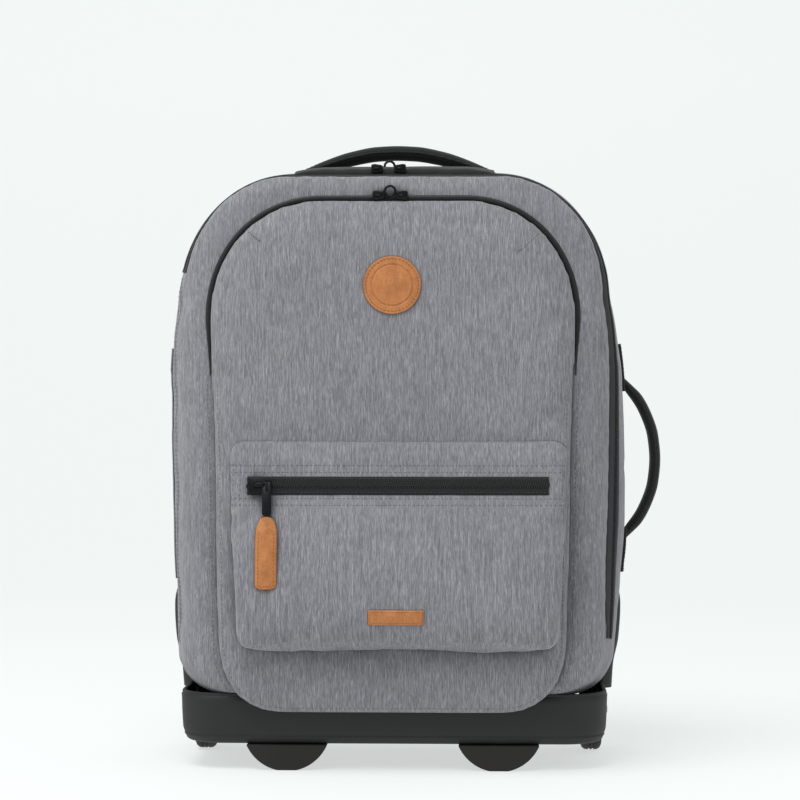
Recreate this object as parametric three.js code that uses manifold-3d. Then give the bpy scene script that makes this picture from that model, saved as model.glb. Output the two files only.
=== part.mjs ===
// A wheeled backpack: a soft hollow case on a moulded base with two rear wheels,
// two front feet, a telescopic handle, shoulder straps and zipped compartments.
// Millimetres, +Z up, the front faces -Y and +X is on the right seen from the front.
import * as THREE from "three";
import { mergeVertices } from "three/addons/utils/BufferGeometryUtils.js";
import Module from "manifold-3d";

const wasm = await Module();
wasm.setup();

// Clearances and cloth
const GAP = 0.3;
const CLOTH = 2.5;
const THIN_CLOTH = 2;
const CUT = 60;

// Main case
const BODY_WIDTH = 358;
const BODY_FRONT_Y = -82;
const BODY_BACK_Y = 72;
const BODY_TOP = 484;
const BODY_BOTTOM = 56;
const BODY_EDGE = 35;
const BODY_CORNER_ACROSS = 90;
const BODY_CORNER_UP = 105;
const BODY_LOWER_ACROSS = 50;
const BODY_LOWER_UP = 38;
const SIDE_SWELL = 7;
const FRONT_LEAN = 12;

// Main zip
const MAIN_ZIP_FRONT_Y = -54;
const MAIN_ZIP_BACK_Y = -44;
const MAIN_ZIP_LEFT_END_Z = 400;
const MAIN_ZIP_RIGHT_END_Z = 104;

// Front panel
const PANEL_WIDTH = 293;
const PANEL_TOP = 457;
const PANEL_BOTTOM = 47;
const PANEL_DEPTH = 16;
const PANEL_CORNER_ACROSS = 90;
const PANEL_CORNER_UP = 96;
const PANEL_LOWER_ACROSS = 62;
const PANEL_LOWER_UP = 73;
const FRONT_ZIP_WIDTH = 5;
const FRONT_ZIP_END_Z = 315;

// Front pocket
const POCKET_WIDTH = 268;
const POCKET_OFFSET_X = 5;
const POCKET_TOP = 265;
const POCKET_BOTTOM = 99;
const POCKET_BULGE = 32;
const POCKET_SINK = 8;
const POCKET_ZIP_WIDTH = 238;
const POCKET_ZIP_HEIGHT = 14.4;
const POCKET_ZIP_Z = 229;

// Side pocket on the left
const SIDE_POCKET_TOP = 339;
const SIDE_POCKET_BOTTOM = 151;
const SIDE_POCKET_FRONT_Y = -36;
const SIDE_POCKET_BACK_Y = 54;
const SIDE_POCKET_STAND = 6.3;

// Leather
const PATCH_RADIUS = 23;
const PATCH_Z = 387;
const LEATHER = 1.8;
const LABEL_WIDTH = 43.5;
const LABEL_HEIGHT = 11.5;
const LABEL_X = 4.5;
const LABEL_Z = 123;
const TAG_WIDTH = 17;
const TAG_LENGTH = 57;

// Zip hardware
const SLIDER_LENGTH = 8.4;
const POCKET_SLIDER_LENGTH = 16;
const SLIDER_THICK = 3.6;
const RING_WIRE = 0.9;
const SLIDER_PITCH = 18.6;
const PULLER_WIDTH = 8;
const PULLER_LENGTH = 20;
const PULLER_THICK = 1.8;
const POCKET_SLIDER_WIDTH = 11;
const MAIN_SLIDER_X = -4.5;
const FRONT_SLIDER_X = -2;
const SLIDER_WIDTH = 8;

// Handles and straps
const TOP_HANDLE_SPAN = 163;
const TOP_HANDLE_RISE = 28;
const TOP_HANDLE_THICK = 12;
const TOP_HANDLE_WIDTH = 30;
const TOP_HANDLE_X = 0;
const HANDLE_BASE_THICK = 5;
const HANDLE_BASE_FRONT_Y = -40;
const HANDLE_BASE_BACK_Y = 45;
const TOP_HANDLE_Y = 28;
const SIDE_HANDLE_Y = 10;
const SIDE_HANDLE_REACH = 29;
const SIDE_HANDLE_THICK = 9;
const SIDE_HANDLE_WIDTH = 24;
const SIDE_HANDLE_TOP_Z = 312;
const SIDE_HANDLE_BOTTOM_Z = 184;
const TAB_THICK = 2.6;
const TAB_WIDTH = 30;
const TAB_HEIGHT = 37;
const STRAP_WIDTH = 58;
const STRAP_THICK = 11;
const WEBBING_WIDTH = 25;
const WEBBING_THICK = 2;

// Base, feet and wheels
const TRAY_WIDTH = 346;
const TRAY_FRONT_Y = -77;
const TRAY_BACK_Y = 90;
const TRAY_BOTTOM = 20.8;
const TRAY_TOP = 62;
const TRAY_WALL = 4;
const TRAY_CORNER = 34;
const HOUSING_TOP = 150;
const HOUSING_INNER_X = 147.5;
const HOUSING_FRONT_Y = 12;
const HOUSING_DEPTH = 79;
const HOUSING_CORNER = 12;
const HOUSING_OUTER_X = 186.5;
const WHEEL_RADIUS = 34;
const WHEEL_WIDTH = 18;
const WHEEL_X = 163.5;
const WHEEL_Y = 56;
const WHEEL_CLEARANCE = 3;
const HUB_RADIUS = 24;
const AXLE_RADIUS = 3;
const FOOT_RADIUS = 35.5;
const FOOT_X = 85;
const FOOT_THICK = 26;
const FOOT_FLAT = 15;

// Telescopic handle
const TUBE_X = 50;
const OUTER_TUBE = { across: 20, deep: 12 };
const MID_TUBE = { across: 17, deep: 9 };
const INNER_TUBE = { across: 14, deep: 6 };
const TUBE_WALL = 1.2;
const TUBE_FOOT_Z = 34;
const TUBE_TOP_Z = 438;
const TUBE_STEP = 6;
const BRIDGE_THICK = 6;
const FINGER_GAP = 19;
const GRIP_HEIGHT = 21;
const GRIP_DEPTH = 15;
const GRIP_OVERHANG = 12;
const GRIP_CORNER = 4;

// Back panel
const BACK_WIDTH = 292;
const BACK_THICK = 18;
const BACK_TOP = 434;

// How finely round shapes are faceted
const PLAN_CORNER_STEPS = 3;
const STRIP_CORNER_STEPS = 2;
const STRIP_SOFTNESS = 0.9;
const DISC_SIDES = 32;
const WHEEL_SIDES = 20;
const AXLE_SIDES = 12;
const STRAP_STEPS = 10;
const WEBBING_STEPS = 6;
const HANDLE_STEPS = 14;
const FOOT_STEPS = 8;
const RING_SIDES = 6;
const RING_STEPS = 12;

const BODY_DEPTH = BODY_BACK_Y - BODY_FRONT_Y;
const PANEL_RIM_Y = BODY_FRONT_Y - GAP;
const PANEL_FACE_Y = PANEL_RIM_Y - PANEL_DEPTH;
const TUBE_Y = BODY_BACK_Y + 2 * GAP + OUTER_TUBE.deep / 2;
const RING_RADIUS = (SLIDER_PITCH - SLIDER_LENGTH) / 2 - GAP - RING_WIRE;

// Each section of the case, from front to back. depth is a share of BODY_DEPTH; side, top and
// bottom are how far the outline comes in, as shares of BODY_EDGE; and bulge is how much of the
// right side's swell it has.
const BODY_SECTIONS = [
  { depth: 0, side: 0.754, top: 0.4, bottom: 0.3, bulge: 0 },
  { depth: 0.013, side: 0.525, top: 0.306, bottom: 0.2, bulge: 0 },
  { depth: 0.045, side: 0.34, top: 0.246, bottom: 0.14, bulge: 0 },
  { depth: 0.097, side: 0.183, top: 0.2, bottom: 0.09, bulge: 0 },
  { depth: 0.182, side: 0.087, top: 0.171, bottom: 0.05, bulge: 0 },
  { depth: 0.247, side: 0, top: 0.137, bottom: 0, bulge: 0.55 },
  { depth: 0.37, side: 0, top: 0.086, bottom: 0, bulge: 0.85 },
  { depth: 0.6, side: 0, top: 0, bottom: 0, bulge: 1 },
  { depth: 0.91, side: 0.12, top: 0.05, bottom: 0, bulge: 0.3 },
  { depth: 0.974, side: 0.34, top: 0.2, bottom: 0.1, bulge: 0 },
  { depth: 1, side: 0.6, top: 0.45, bottom: 0.3, bulge: 0 },
];

// How wide an outline is between its lower corner, rise 0, and its shoulder, rise 1, and how far
// the right side swells beyond that, both as shares of its half width.
const BODY_SIDES = [
  { rise: 0, width: 0.975, bulge: 0.02 },
  { rise: 0.2, width: 0.98, bulge: 0.05 },
  { rise: 0.4, width: 0.988, bulge: 0.062 },
  { rise: 0.6, width: 0.996, bulge: 0.05 },
  { rise: 0.78, width: 1, bulge: 0.036 },
  { rise: 0.9, width: 0.992, bulge: 0.02 },
  { rise: 1, width: 0.972, bulge: 0.006 },
];
const PANEL_SIDES = [
  { rise: 0, width: 0.955 },
  { rise: 0.3, width: 0.966 },
  { rise: 0.6, width: 0.977 },
  { rise: 0.85, width: 0.992 },
  { rise: 1, width: 1 },
];
const POCKET_SIDES = [
  { rise: 0, width: 0.95 },
  { rise: 0.5, width: 0.975 },
  { rise: 1, width: 1 },
];
const STRAIGHT_SIDES = [
  { rise: 0, width: 1 },
  { rise: 1, width: 1 },
];

// How a soft lid rounds over from its rim: inset as a share of LID_EDGE, shrink towards the
// middle, and stand as a share of the lid's depth.
const LID_EDGE = 16;
const PANEL_ROWS = [
  { inset: 0, shrink: 1, stand: 0 },
  { inset: 0.0125, shrink: 1, stand: 0.2 },
  { inset: 0.19, shrink: 1, stand: 0.58 },
  { inset: 0.5, shrink: 1, stand: 0.8 },
  { inset: 1, shrink: 1, stand: 0.9 },
  { inset: 1, shrink: 0.6, stand: 1 },
];
const POCKET_ROWS = [
  { inset: 0, shrink: 1, stand: 0 },
  { inset: 0, shrink: 1, stand: 0.6 },
  { inset: 0.1, shrink: 1, stand: 0.84 },
  { inset: 0.3, shrink: 1, stand: 0.95 },
  { inset: 0.625, shrink: 1, stand: 1 },
  { inset: 0.625, shrink: 0.5, stand: 1.04 },
];
const BACK_ROWS = [
  { inset: 0, shrink: 1, stand: 0 },
  { inset: 0, shrink: 1, stand: 0.6 },
  { inset: 0.25, shrink: 1, stand: 0.86 },
  { inset: 0.625, shrink: 1, stand: 0.95 },
  { inset: 0.625, shrink: 0.6, stand: 1 },
];

// How far the front pocket bulges at each height, as a share of POCKET_BULGE.
const POCKET_PROFILE = [
  { rise: 0, stand: 0.74 },
  { rise: 0.06, stand: 0.92 },
  { rise: 0.14, stand: 1 },
  { rise: 0.4, stand: 0.9 },
  { rise: 0.65, stand: 0.62 },
  { rise: 0.78, stand: 0.48 },
  { rise: 0.92, stand: 0.37 },
  { rise: 1, stand: 0.3 },
];

// How far the side pocket stands out at each height, as a share of its stand.
const SIDE_POCKET_PROFILE = [
  { rise: 0, stand: 0.25, across: 0.8 },
  { rise: 0.06, stand: 0.7, across: 0.95 },
  { rise: 0.2, stand: 1, across: 1 },
  { rise: 0.55, stand: 1, across: 1 },
  { rise: 1, stand: 0.97, across: 1 },
];

// Wheel housings at the rear corners, from their foot to their rounded top.
const HOUSING_SECTIONS = [
  { rise: 0, out: 0.74, front: 0.1, back: 0.02 },
  { rise: 0.2, out: 0.76, front: 0.04, back: 0 },
  { rise: 0.46, out: 0.93, front: 0, back: 0 },
  { rise: 0.76, out: 1, front: 0.05, back: 0.02 },
  { rise: 0.93, out: 0.95, front: 0.18, back: 0.06 },
  { rise: 1, out: 0.8, front: 0.32, back: 0.16 },
];
// The dished base, from its underside to its rim.
const TRAY_SECTIONS = [
  { rise: 0, inset: 8 },
  { rise: 0.08, inset: 3 },
  { rise: 0.24, inset: 0.5 },
  { rise: 1, inset: 0 },
];

// The tyre and hub: out from the bore, 0, to the rim, 1, and across as a share of half the width.
const TYRE_ROWS = [
  { out: 0, across: -0.8 },
  { out: 0.59, across: -1 },
  { out: 0.9, across: -0.7 },
  { out: 1, across: 0 },
  { out: 0.9, across: 0.7 },
  { out: 0.59, across: 1 },
  { out: 0, across: 0.8 },
];
const HUB_ROWS = [
  { out: 0, across: -1 },
  { out: 0.22, across: -1 },
  { out: 0.81, across: -0.4 },
  { out: 1, across: -0.8 },
  { out: 1, across: 0.8 },
  { out: 0.81, across: 0.4 },
  { out: 0.22, across: 1 },
  { out: 0, across: 1 },
];

// The padded strap of each shoulder, from the yoke down. across and rise are shares of
// the back panel's half width and height, and stand is how far it arches off the panel.
const STRAP_ROUTE = [
  { across: 0.3, rise: 0.97, stand: -3 },
  { across: 0.36, rise: 0.88, stand: 4 },
  { across: 0.5, rise: 0.7, stand: 7 },
  { across: 0.6, rise: 0.52, stand: 7 },
  { across: 0.66, rise: 0.36, stand: 2 },
];
const WEBBING_ROUTE = [
  { across: 0.665, rise: 0.35, stand: 5 },
  { across: 0.71, rise: 0.2, stand: 4 },
  { across: 0.76, rise: 0.07, stand: -1.6 },
];

// The top handle's middle line: across as a share of its span, up as a share of its rise above
// the case, and thick as a share of its thickness.
const TOP_HANDLE_ROUTE = [
  { across: -0.5, up: 0.06, thick: 0.45 },
  { across: -0.36, up: 0.34, thick: 0.8 },
  { across: -0.24, up: 0.55, thick: 0.95 },
  { across: -0.1, up: 0.72, thick: 1 },
  { across: 0.1, up: 0.72, thick: 1 },
  { across: 0.24, up: 0.55, thick: 0.95 },
  { across: 0.36, up: 0.34, thick: 0.8 },
  { across: 0.5, up: 0.06, thick: 0.45 },
];

// The side handle's middle line: up as a share of half its height, out as a share of its reach,
// and thick as a share of its thickness.
const SIDE_HANDLE_ROUTE = [
  { up: -1.06, out: 0.02, thick: 0.7 },
  { up: -0.9, out: 0.28, thick: 0.9 },
  { up: -0.6, out: 0.7, thick: 1 },
  { up: 0, out: 1, thick: 1 },
  { up: 0.6, out: 0.7, thick: 1 },
  { up: 0.9, out: 0.28, thick: 0.9 },
  { up: 1.06, out: 0.02, thick: 0.7 },
];

// The pull tag's outline from its top: down as a share of its length, half as a share of its
// half width.
const TAG_ROWS = [
  { down: 0, half: 0.3 },
  { down: 0.02, half: 0.5 },
  { down: 0.07, half: 0.62 },
  { down: 0.28, half: 1 },
  { down: 0.86, half: 1 },
  { down: 0.96, half: 0.8 },
  { down: 1, half: 0.5 },
];

// The grip's ends: along as a share of its half length, and how much slimmer it is there.
const GRIP_ENDS = [
  { along: -1, slim: 3 },
  { along: -0.94, slim: 1 },
  { along: -0.8, slim: 0 },
  { along: 0.8, slim: 0 },
  { along: 0.94, slim: 1 },
  { along: 1, slim: 3 },
];

const GREY = new THREE.MeshStandardMaterial({ color: 0x84848a, roughness: 0.95, metalness: 0 });
const BLACK_CLOTH = new THREE.MeshStandardMaterial({ color: 0x262628, roughness: 0.9, metalness: 0 });
const BLACK_PLASTIC = new THREE.MeshStandardMaterial({ color: 0x2b2a2b, roughness: 0.6, metalness: 0 });
const LEATHER_TAN = new THREE.MeshStandardMaterial({ color: 0xc67e48, roughness: 0.6, metalness: 0 });
const DARK_METAL = new THREE.MeshStandardMaterial({ color: 0x1c1c1e, roughness: 0.35, metalness: 0.8 });
const STEEL = new THREE.MeshStandardMaterial({ color: 0x9a9da0, roughness: 0.4, metalness: 1 });
const RUBBER = new THREE.MeshStandardMaterial({ color: 0x1f1c1c, roughness: 0.85, metalness: 0 });

// Reads a column of a table at a place between its rows.
function readTable(rows, key, column, place) {
  const last = rows[rows.length - 1];
  if (place <= rows[0][key]) return rows[0][column];
  if (place >= last[key]) return last[column];
  const next = rows.findIndex((row) => row[key] >= place);
  const low = rows[next - 1];
  const high = rows[next];
  const share = (place - low[key]) / (high[key] - low[key]);
  return THREE.MathUtils.lerp(low[column], high[column], share);
}

// A closed mesh as a solid that can be cut and joined.
function toSolid(geometry) {
  const bare = geometry.clone();
  bare.deleteAttribute("normal");
  bare.deleteAttribute("uv");
  const merged = mergeVertices(bare, 1e-4);
  const mesh = new wasm.Mesh({
    numProp: 3,
    vertProperties: new Float32Array(merged.attributes.position.array),
    triVerts: new Uint32Array(merged.index.array),
  });
  return new wasm.Manifold(mesh);
}

function toGeometry(solid) {
  const mesh = solid.getMesh();
  const geometry = new THREE.BufferGeometry();
  geometry.setAttribute("position", new THREE.BufferAttribute(new Float32Array(mesh.vertProperties), 3));
  geometry.setIndex(new THREE.BufferAttribute(new Uint32Array(mesh.triVerts), 1));
  return geometry;
}

// Joins rings of points into a closed skin with a fan at each end, facing out.
function loft(rings) {
  const count = rings[0].length;
  const points = rings.flat();
  const triangles = [];
  for (let ring = 0; ring < rings.length - 1; ring += 1) {
    for (let step = 0; step < count; step += 1) {
      const a = ring * count + step;
      const b = ring * count + ((step + 1) % count);
      triangles.push([a, b, a + count], [b, b + count, a + count]);
    }
  }
  for (const ring of [0, rings.length - 1]) {
    const middle = new THREE.Vector3();
    rings[ring].forEach((point) => middle.addScaledVector(point, 1 / count));
    const hub = points.length;
    points.push(middle);
    for (let step = 0; step < count; step += 1) {
      const a = ring * count + step;
      const b = ring * count + ((step + 1) % count);
      triangles.push(ring === 0 ? [b, a, hub] : [a, b, hub]);
    }
  }
  let volume = 0;
  for (const [a, b, c] of triangles) {
    volume += points[a].dot(points[b].clone().cross(points[c]));
  }
  const index = triangles.flatMap(([a, b, c]) => (volume > 0 ? [a, b, c] : [a, c, b]));
  const geometry = new THREE.BufferGeometry();
  const places = points.flatMap((point) => point.toArray());
  geometry.setAttribute("position", new THREE.Float32BufferAttribute(places, 3));
  geometry.setIndex(index);
  return geometry;
}

function loftSolid(rings) {
  return toSolid(loft(rings));
}

// A block between two corners.
function block(low, high) {
  const size = new THREE.Vector3(high[0] - low[0], high[1] - low[1], high[2] - low[2]);
  const geometry = new THREE.BoxGeometry(size.x, size.y, size.z);
  geometry.translate(low[0] + size.x / 2, low[1] + size.y / 2, low[2] + size.z / 2);
  return toSolid(geometry);
}

// A cylinder along X or Y about a centre.
function cylinder(axis, radius, length, centre, sides) {
  const geometry = new THREE.CylinderGeometry(radius, radius, length, sides);
  if (axis === "x") geometry.rotateZ(Math.PI / 2);
  geometry.translate(centre[0], centre[1], centre[2]);
  return toSolid(geometry);
}

// One half of an upright bag outline, from its bottom middle round to its top middle.
function outlineHalf(shape, inset, hand) {
  const top = shape.top - inset;
  const bottom = shape.bottom + inset;
  const shoulderZ = shape.top - shape.upperUp;
  const footZ = shape.bottom + shape.lowerUp;
  const widthAt = (z) => {
    const rise = (z - footZ) / (shoulderZ - footZ);
    const bulge = hand > 0 && shape.bulge ? shape.bulge * readTable(shape.sides, "rise", "bulge", rise) : 0;
    return shape.half * (readTable(shape.sides, "rise", "width", rise) + bulge) - inset - shape.sideIn;
  };
  const lowerAcross = Math.max(shape.lowerAcross - inset - shape.sideIn, 4);
  const upperAcross = Math.max(shape.upperAcross - inset - shape.sideIn, 4);
  const points = [];
  const lowerX = widthAt(footZ) - lowerAcross;
  const upperX = widthAt(shoulderZ) - upperAcross;
  const flatSteps = 3;
  for (let step = 0; step < flatSteps; step += 1) {
    points.push({ x: (lowerX * step) / flatSteps, z: bottom });
  }
  for (let step = 0; step < shape.lowerSteps; step += 1) {
    const angle = (step / shape.lowerSteps) * (Math.PI / 2);
    const across = Math.sin(angle) ** (2 / shape.lowerPower);
    const down = Math.cos(angle) ** (2 / shape.lowerPower);
    points.push({ x: lowerX + lowerAcross * across, z: footZ - (footZ - bottom) * down });
  }
  for (let step = 0; step < shape.sideSteps; step += 1) {
    const z = THREE.MathUtils.lerp(footZ, shoulderZ, step / shape.sideSteps);
    points.push({ x: widthAt(z), z });
  }
  for (let step = 0; step < shape.upperSteps; step += 1) {
    const angle = (step / shape.upperSteps) * (Math.PI / 2);
    const across = Math.cos(angle) ** (2 / shape.upperPower);
    const up = Math.sin(angle) ** (2 / shape.upperPower);
    points.push({ x: upperX + upperAcross * across, z: shoulderZ + (top - shoulderZ) * up });
  }
  for (let step = 0; step <= flatSteps; step += 1) {
    points.push({ x: upperX * (1 - step / flatSteps), z: top });
  }
  return points;
}

// The whole outline: the right half, then the left half back down.
function outline(shape, inset) {
  const right = outlineHalf(shape, inset, 1);
  const left = outlineHalf(shape, inset, -1).reverse();
  const whole = right.map((point) => ({ x: shape.offsetX + point.x, z: point.z }));
  left.slice(1, -1).forEach((point) => whole.push({ x: shape.offsetX - point.x, z: point.z }));
  return whole;
}

function bodyShape(section) {
  return {
    half: BODY_WIDTH / 2,
    sideIn: section.side * BODY_EDGE,
    top: BODY_TOP - section.top * BODY_EDGE,
    bottom: BODY_BOTTOM + section.bottom * BODY_EDGE,
    upperAcross: BODY_CORNER_ACROSS,
    upperUp: BODY_CORNER_UP - section.top * BODY_EDGE,
    lowerAcross: BODY_LOWER_ACROSS,
    lowerUp: BODY_LOWER_UP,
    lowerPower: 2.3,
    upperPower: 2,
    lowerSteps: 4,
    upperSteps: 6,
    sideSteps: 6,
    sides: BODY_SIDES,
    bulge: section.bulge,
    offsetX: 0,
  };
}

// The case as a filled solid, grown or shrunk by an amount all round.
function bodySolid(grow) {
  const rings = BODY_SECTIONS.map((section) => {
    const y = THREE.MathUtils.lerp(BODY_FRONT_Y - grow, BODY_BACK_Y + grow, section.depth);
    return outline(bodyShape(section), -grow).map((point) => new THREE.Vector3(point.x, y, point.z));
  });
  return loftSolid(rings);
}

const PANEL_SHAPE = {
  half: PANEL_WIDTH / 2,
  sideIn: 0,
  top: PANEL_TOP,
  bottom: PANEL_BOTTOM,
  upperAcross: PANEL_CORNER_ACROSS,
  upperUp: PANEL_CORNER_UP,
  lowerAcross: PANEL_LOWER_ACROSS,
  lowerUp: PANEL_LOWER_UP,
  lowerPower: 2.7,
  upperPower: 2.1,
  lowerSteps: 5,
  upperSteps: 7,
  sideSteps: 4,
  sides: PANEL_SIDES,
  offsetX: 0,
};
const POCKET_SHAPE = {
  half: POCKET_WIDTH / 2,
  sideIn: 0,
  top: POCKET_TOP,
  bottom: POCKET_BOTTOM,
  upperAcross: 12,
  upperUp: 12,
  lowerAcross: 14,
  lowerUp: 14,
  lowerPower: 2.2,
  upperPower: 2,
  lowerSteps: 3,
  upperSteps: 2,
  sideSteps: 8,
  sides: POCKET_SIDES,
  offsetX: POCKET_OFFSET_X,
};
const BACK_SHAPE = {
  half: BACK_WIDTH / 2,
  sideIn: 0,
  top: BACK_TOP,
  bottom: TRAY_TOP + GAP,
  upperAcross: 46,
  upperUp: 46,
  lowerAcross: 16,
  lowerUp: 16,
  lowerPower: 2,
  upperPower: 2,
  lowerSteps: 3,
  upperSteps: 5,
  sideSteps: 4,
  sides: STRAIGHT_SIDES,
  offsetX: 0,
};

// A soft lid over an outline. facing is -1 for a lid on the front and 1 for one on the back.
// floor is how thick the cloth at its rim is, and it is only used for an inner skin.
function lidSolid(shape, rows, rimY, depthAt, facing, grow, floor) {
  const middleZ = (shape.top + shape.bottom) / 2;
  const stands = (row) => row.stand * depthAt(middleZ) > floor - grow;
  const kept = floor === undefined ? rows : rows.filter(stands);
  const ringAt = (row, place) =>
    outline(shape, row.inset * LID_EDGE - grow).map((point) => {
      const x = shape.offsetX + (point.x - shape.offsetX) * row.shrink;
      const z = middleZ + (point.z - middleZ) * row.shrink;
      return new THREE.Vector3(x, place(z), z);
    });
  const rings = kept.map((row) => ringAt(row, (z) => rimY + facing * (grow + row.stand * depthAt(z))));
  if (floor !== undefined) rings.unshift(ringAt(kept[0], () => rimY + facing * floor));
  return loftSolid(rings);
}

const panelDepthAt = () => PANEL_DEPTH;
const backDepthAt = () => BACK_THICK;
const pocketDepthAt = (z) => {
  const rise = (z - POCKET_BOTTOM) / (POCKET_TOP - POCKET_BOTTOM);
  return POCKET_BULGE * readTable(POCKET_PROFILE, "rise", "stand", rise);
};

function panelSolid(grow, floor) {
  return lidSolid(PANEL_SHAPE, PANEL_ROWS, PANEL_RIM_Y, panelDepthAt, -1, grow, floor);
}

function pocketSolid(grow, floor) {
  return lidSolid(POCKET_SHAPE, POCKET_ROWS, PANEL_FACE_Y + POCKET_SINK, pocketDepthAt, -1, grow, floor);
}

function backSolid(grow) {
  return lidSolid(BACK_SHAPE, BACK_ROWS, BODY_BACK_Y + GAP, backDepthAt, 1, grow);
}

// Leans a front piece back towards its top. Pieces behind the main zip stay upright.
function leanFront(geometry) {
  const places = geometry.attributes.position;
  for (let index = 0; index < places.count; index += 1) {
    const y = places.getY(index);
    const z = places.getZ(index);
    const forward = THREE.MathUtils.clamp((MAIN_ZIP_FRONT_Y - y) / (MAIN_ZIP_FRONT_Y - BODY_FRONT_Y), 0, 1);
    const rise = (z - PANEL_BOTTOM) / (BODY_TOP - PANEL_BOTTOM);
    places.setY(index, y + FRONT_LEAN * forward * rise);
  }
  return geometry;
}

// A belt that follows part of an outline, between two depths, for cutting a zip's slot.
function beltSolid(shapeFront, shapeBack, frontY, backY, outside, inside, keep) {
  const rings = [];
  const frontOut = outline(shapeFront, -outside);
  const frontIn = outline(shapeFront, inside);
  const backOut = outline(shapeBack, -outside);
  const backIn = outline(shapeBack, inside);
  frontOut.forEach((point, index) => {
    if (!keep(frontIn[index])) return;
    rings.push([
      new THREE.Vector3(point.x, frontY, point.z),
      new THREE.Vector3(backOut[index].x, backY, backOut[index].z),
      new THREE.Vector3(backIn[index].x, backY, backIn[index].z),
      new THREE.Vector3(frontIn[index].x, frontY, frontIn[index].z),
    ]);
  });
  return loftSolid(rings);
}

function housingSolid(hand, grow) {
  const rings = HOUSING_SECTIONS.map((section) => {
    const reach = HOUSING_OUTER_X - HOUSING_INNER_X;
    const inner = HOUSING_INNER_X - grow;
    const outer = HOUSING_INNER_X + reach * section.out + grow;
    const front = HOUSING_FRONT_Y + HOUSING_DEPTH * section.front - grow;
    const back = HOUSING_FRONT_Y + HOUSING_DEPTH * (1 - section.back) + grow;
    const z = THREE.MathUtils.lerp(TRAY_BOTTOM - grow, HOUSING_TOP + grow, section.rise);
    return roundedPlan(inner, outer, front, back, HOUSING_CORNER)
      .map((point) => new THREE.Vector3(hand * point.x, point.y, z));
  });
  return loftSolid(rings);
}

// A rectangle in plan with its corners rounded.
function roundedPlan(lowX, highX, lowY, highY, radius, steps = PLAN_CORNER_STEPS) {
  const corners = [
    { x: highX - radius, y: lowY + radius, start: -Math.PI / 2 },
    { x: highX - radius, y: highY - radius, start: 0 },
    { x: lowX + radius, y: highY - radius, start: Math.PI / 2 },
    { x: lowX + radius, y: lowY + radius, start: Math.PI },
  ];
  const points = [];
  for (const corner of corners) {
    for (let step = 0; step <= steps; step += 1) {
      const angle = corner.start + (step / steps) * (Math.PI / 2);
      points.push({ x: corner.x + radius * Math.cos(angle), y: corner.y + radius * Math.sin(angle) });
    }
  }
  return points;
}

// A padded strip along a curve. side is the direction that its width runs in.
function stripSolid(curve, steps, side, widthAt, thickAt) {
  const rings = [];
  for (let step = 0; step <= steps; step += 1) {
    const share = step / steps;
    const place = curve.getPointAt(share);
    const along = curve.getTangentAt(share);
    const across = side.clone().addScaledVector(along, -side.dot(along)).normalize();
    const up = along.clone().cross(across);
    const half = widthAt(share) / 2;
    const thick = thickAt(share) / 2;
    const soft = Math.min(half, thick) * STRIP_SOFTNESS;
    const ring = roundedPlan(-half, half, -thick, thick, soft, STRIP_CORNER_STEPS);
    const lift = (point) => place.clone().addScaledVector(across, point.x).addScaledVector(up, point.y);
    rings.push(ring.map(lift));
  }
  return loftSolid(rings);
}

function named(name, geometry, material) {
  const mesh = new THREE.Mesh(geometry, material);
  mesh.name = name;
  return mesh;
}

const FRONT = new THREE.Group();
const CASE = new THREE.Group();
const CHASSIS = new THREE.Group();

function addFront(name, solid, material) {
  FRONT.add(named(name, leanFront(toGeometry(solid)), material));
}

function addCase(name, solid, material) {
  CASE.add(named(name, toGeometry(solid), material));
}

function addChassis(name, solid, material) {
  CHASSIS.add(named(name, toGeometry(solid), material));
}

// The hollow case, with its zip slot and the notches for the wheel housings.
function buildBody() {
  let outside = bodySolid(0);
  let inside = bodySolid(-CLOTH);
  for (const hand of [-1, 1]) {
    outside = outside.subtract(housingSolid(hand, GAP));
    inside = inside.subtract(housingSolid(hand, GAP + CLOTH));
  }
  const wall = outside.subtract(inside);
  const frontSection = BODY_SECTIONS[4];
  const backSection = BODY_SECTIONS[5];
  const lowest = { right: BODY_BOTTOM + CLOTH * 6, left: MAIN_ZIP_LEFT_END_Z - CUT };
  const keep = (point) => point.z > (point.x > 0 ? lowest.right : lowest.left);
  const belt = (trim) =>
    beltSolid(bodyShape(frontSection), bodyShape(backSection), MAIN_ZIP_FRONT_Y + trim,
      MAIN_ZIP_BACK_Y - trim, CLOTH * 2, CLOTH * 3, keep)
      .subtract(block([-BODY_WIDTH, -CUT * 2, 0], [-BODY_WIDTH / 4, CUT, MAIN_ZIP_LEFT_END_Z + trim]))
      .subtract(block([BODY_WIDTH / 4, -CUT * 2, 0], [BODY_WIDTH, CUT, MAIN_ZIP_RIGHT_END_Z + trim]));
  addFront("body_shell", wall.subtract(belt(0)), GREY);
  addFront("main_zip", wall.intersect(belt(GAP)), BLACK_CLOTH);
}

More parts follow.
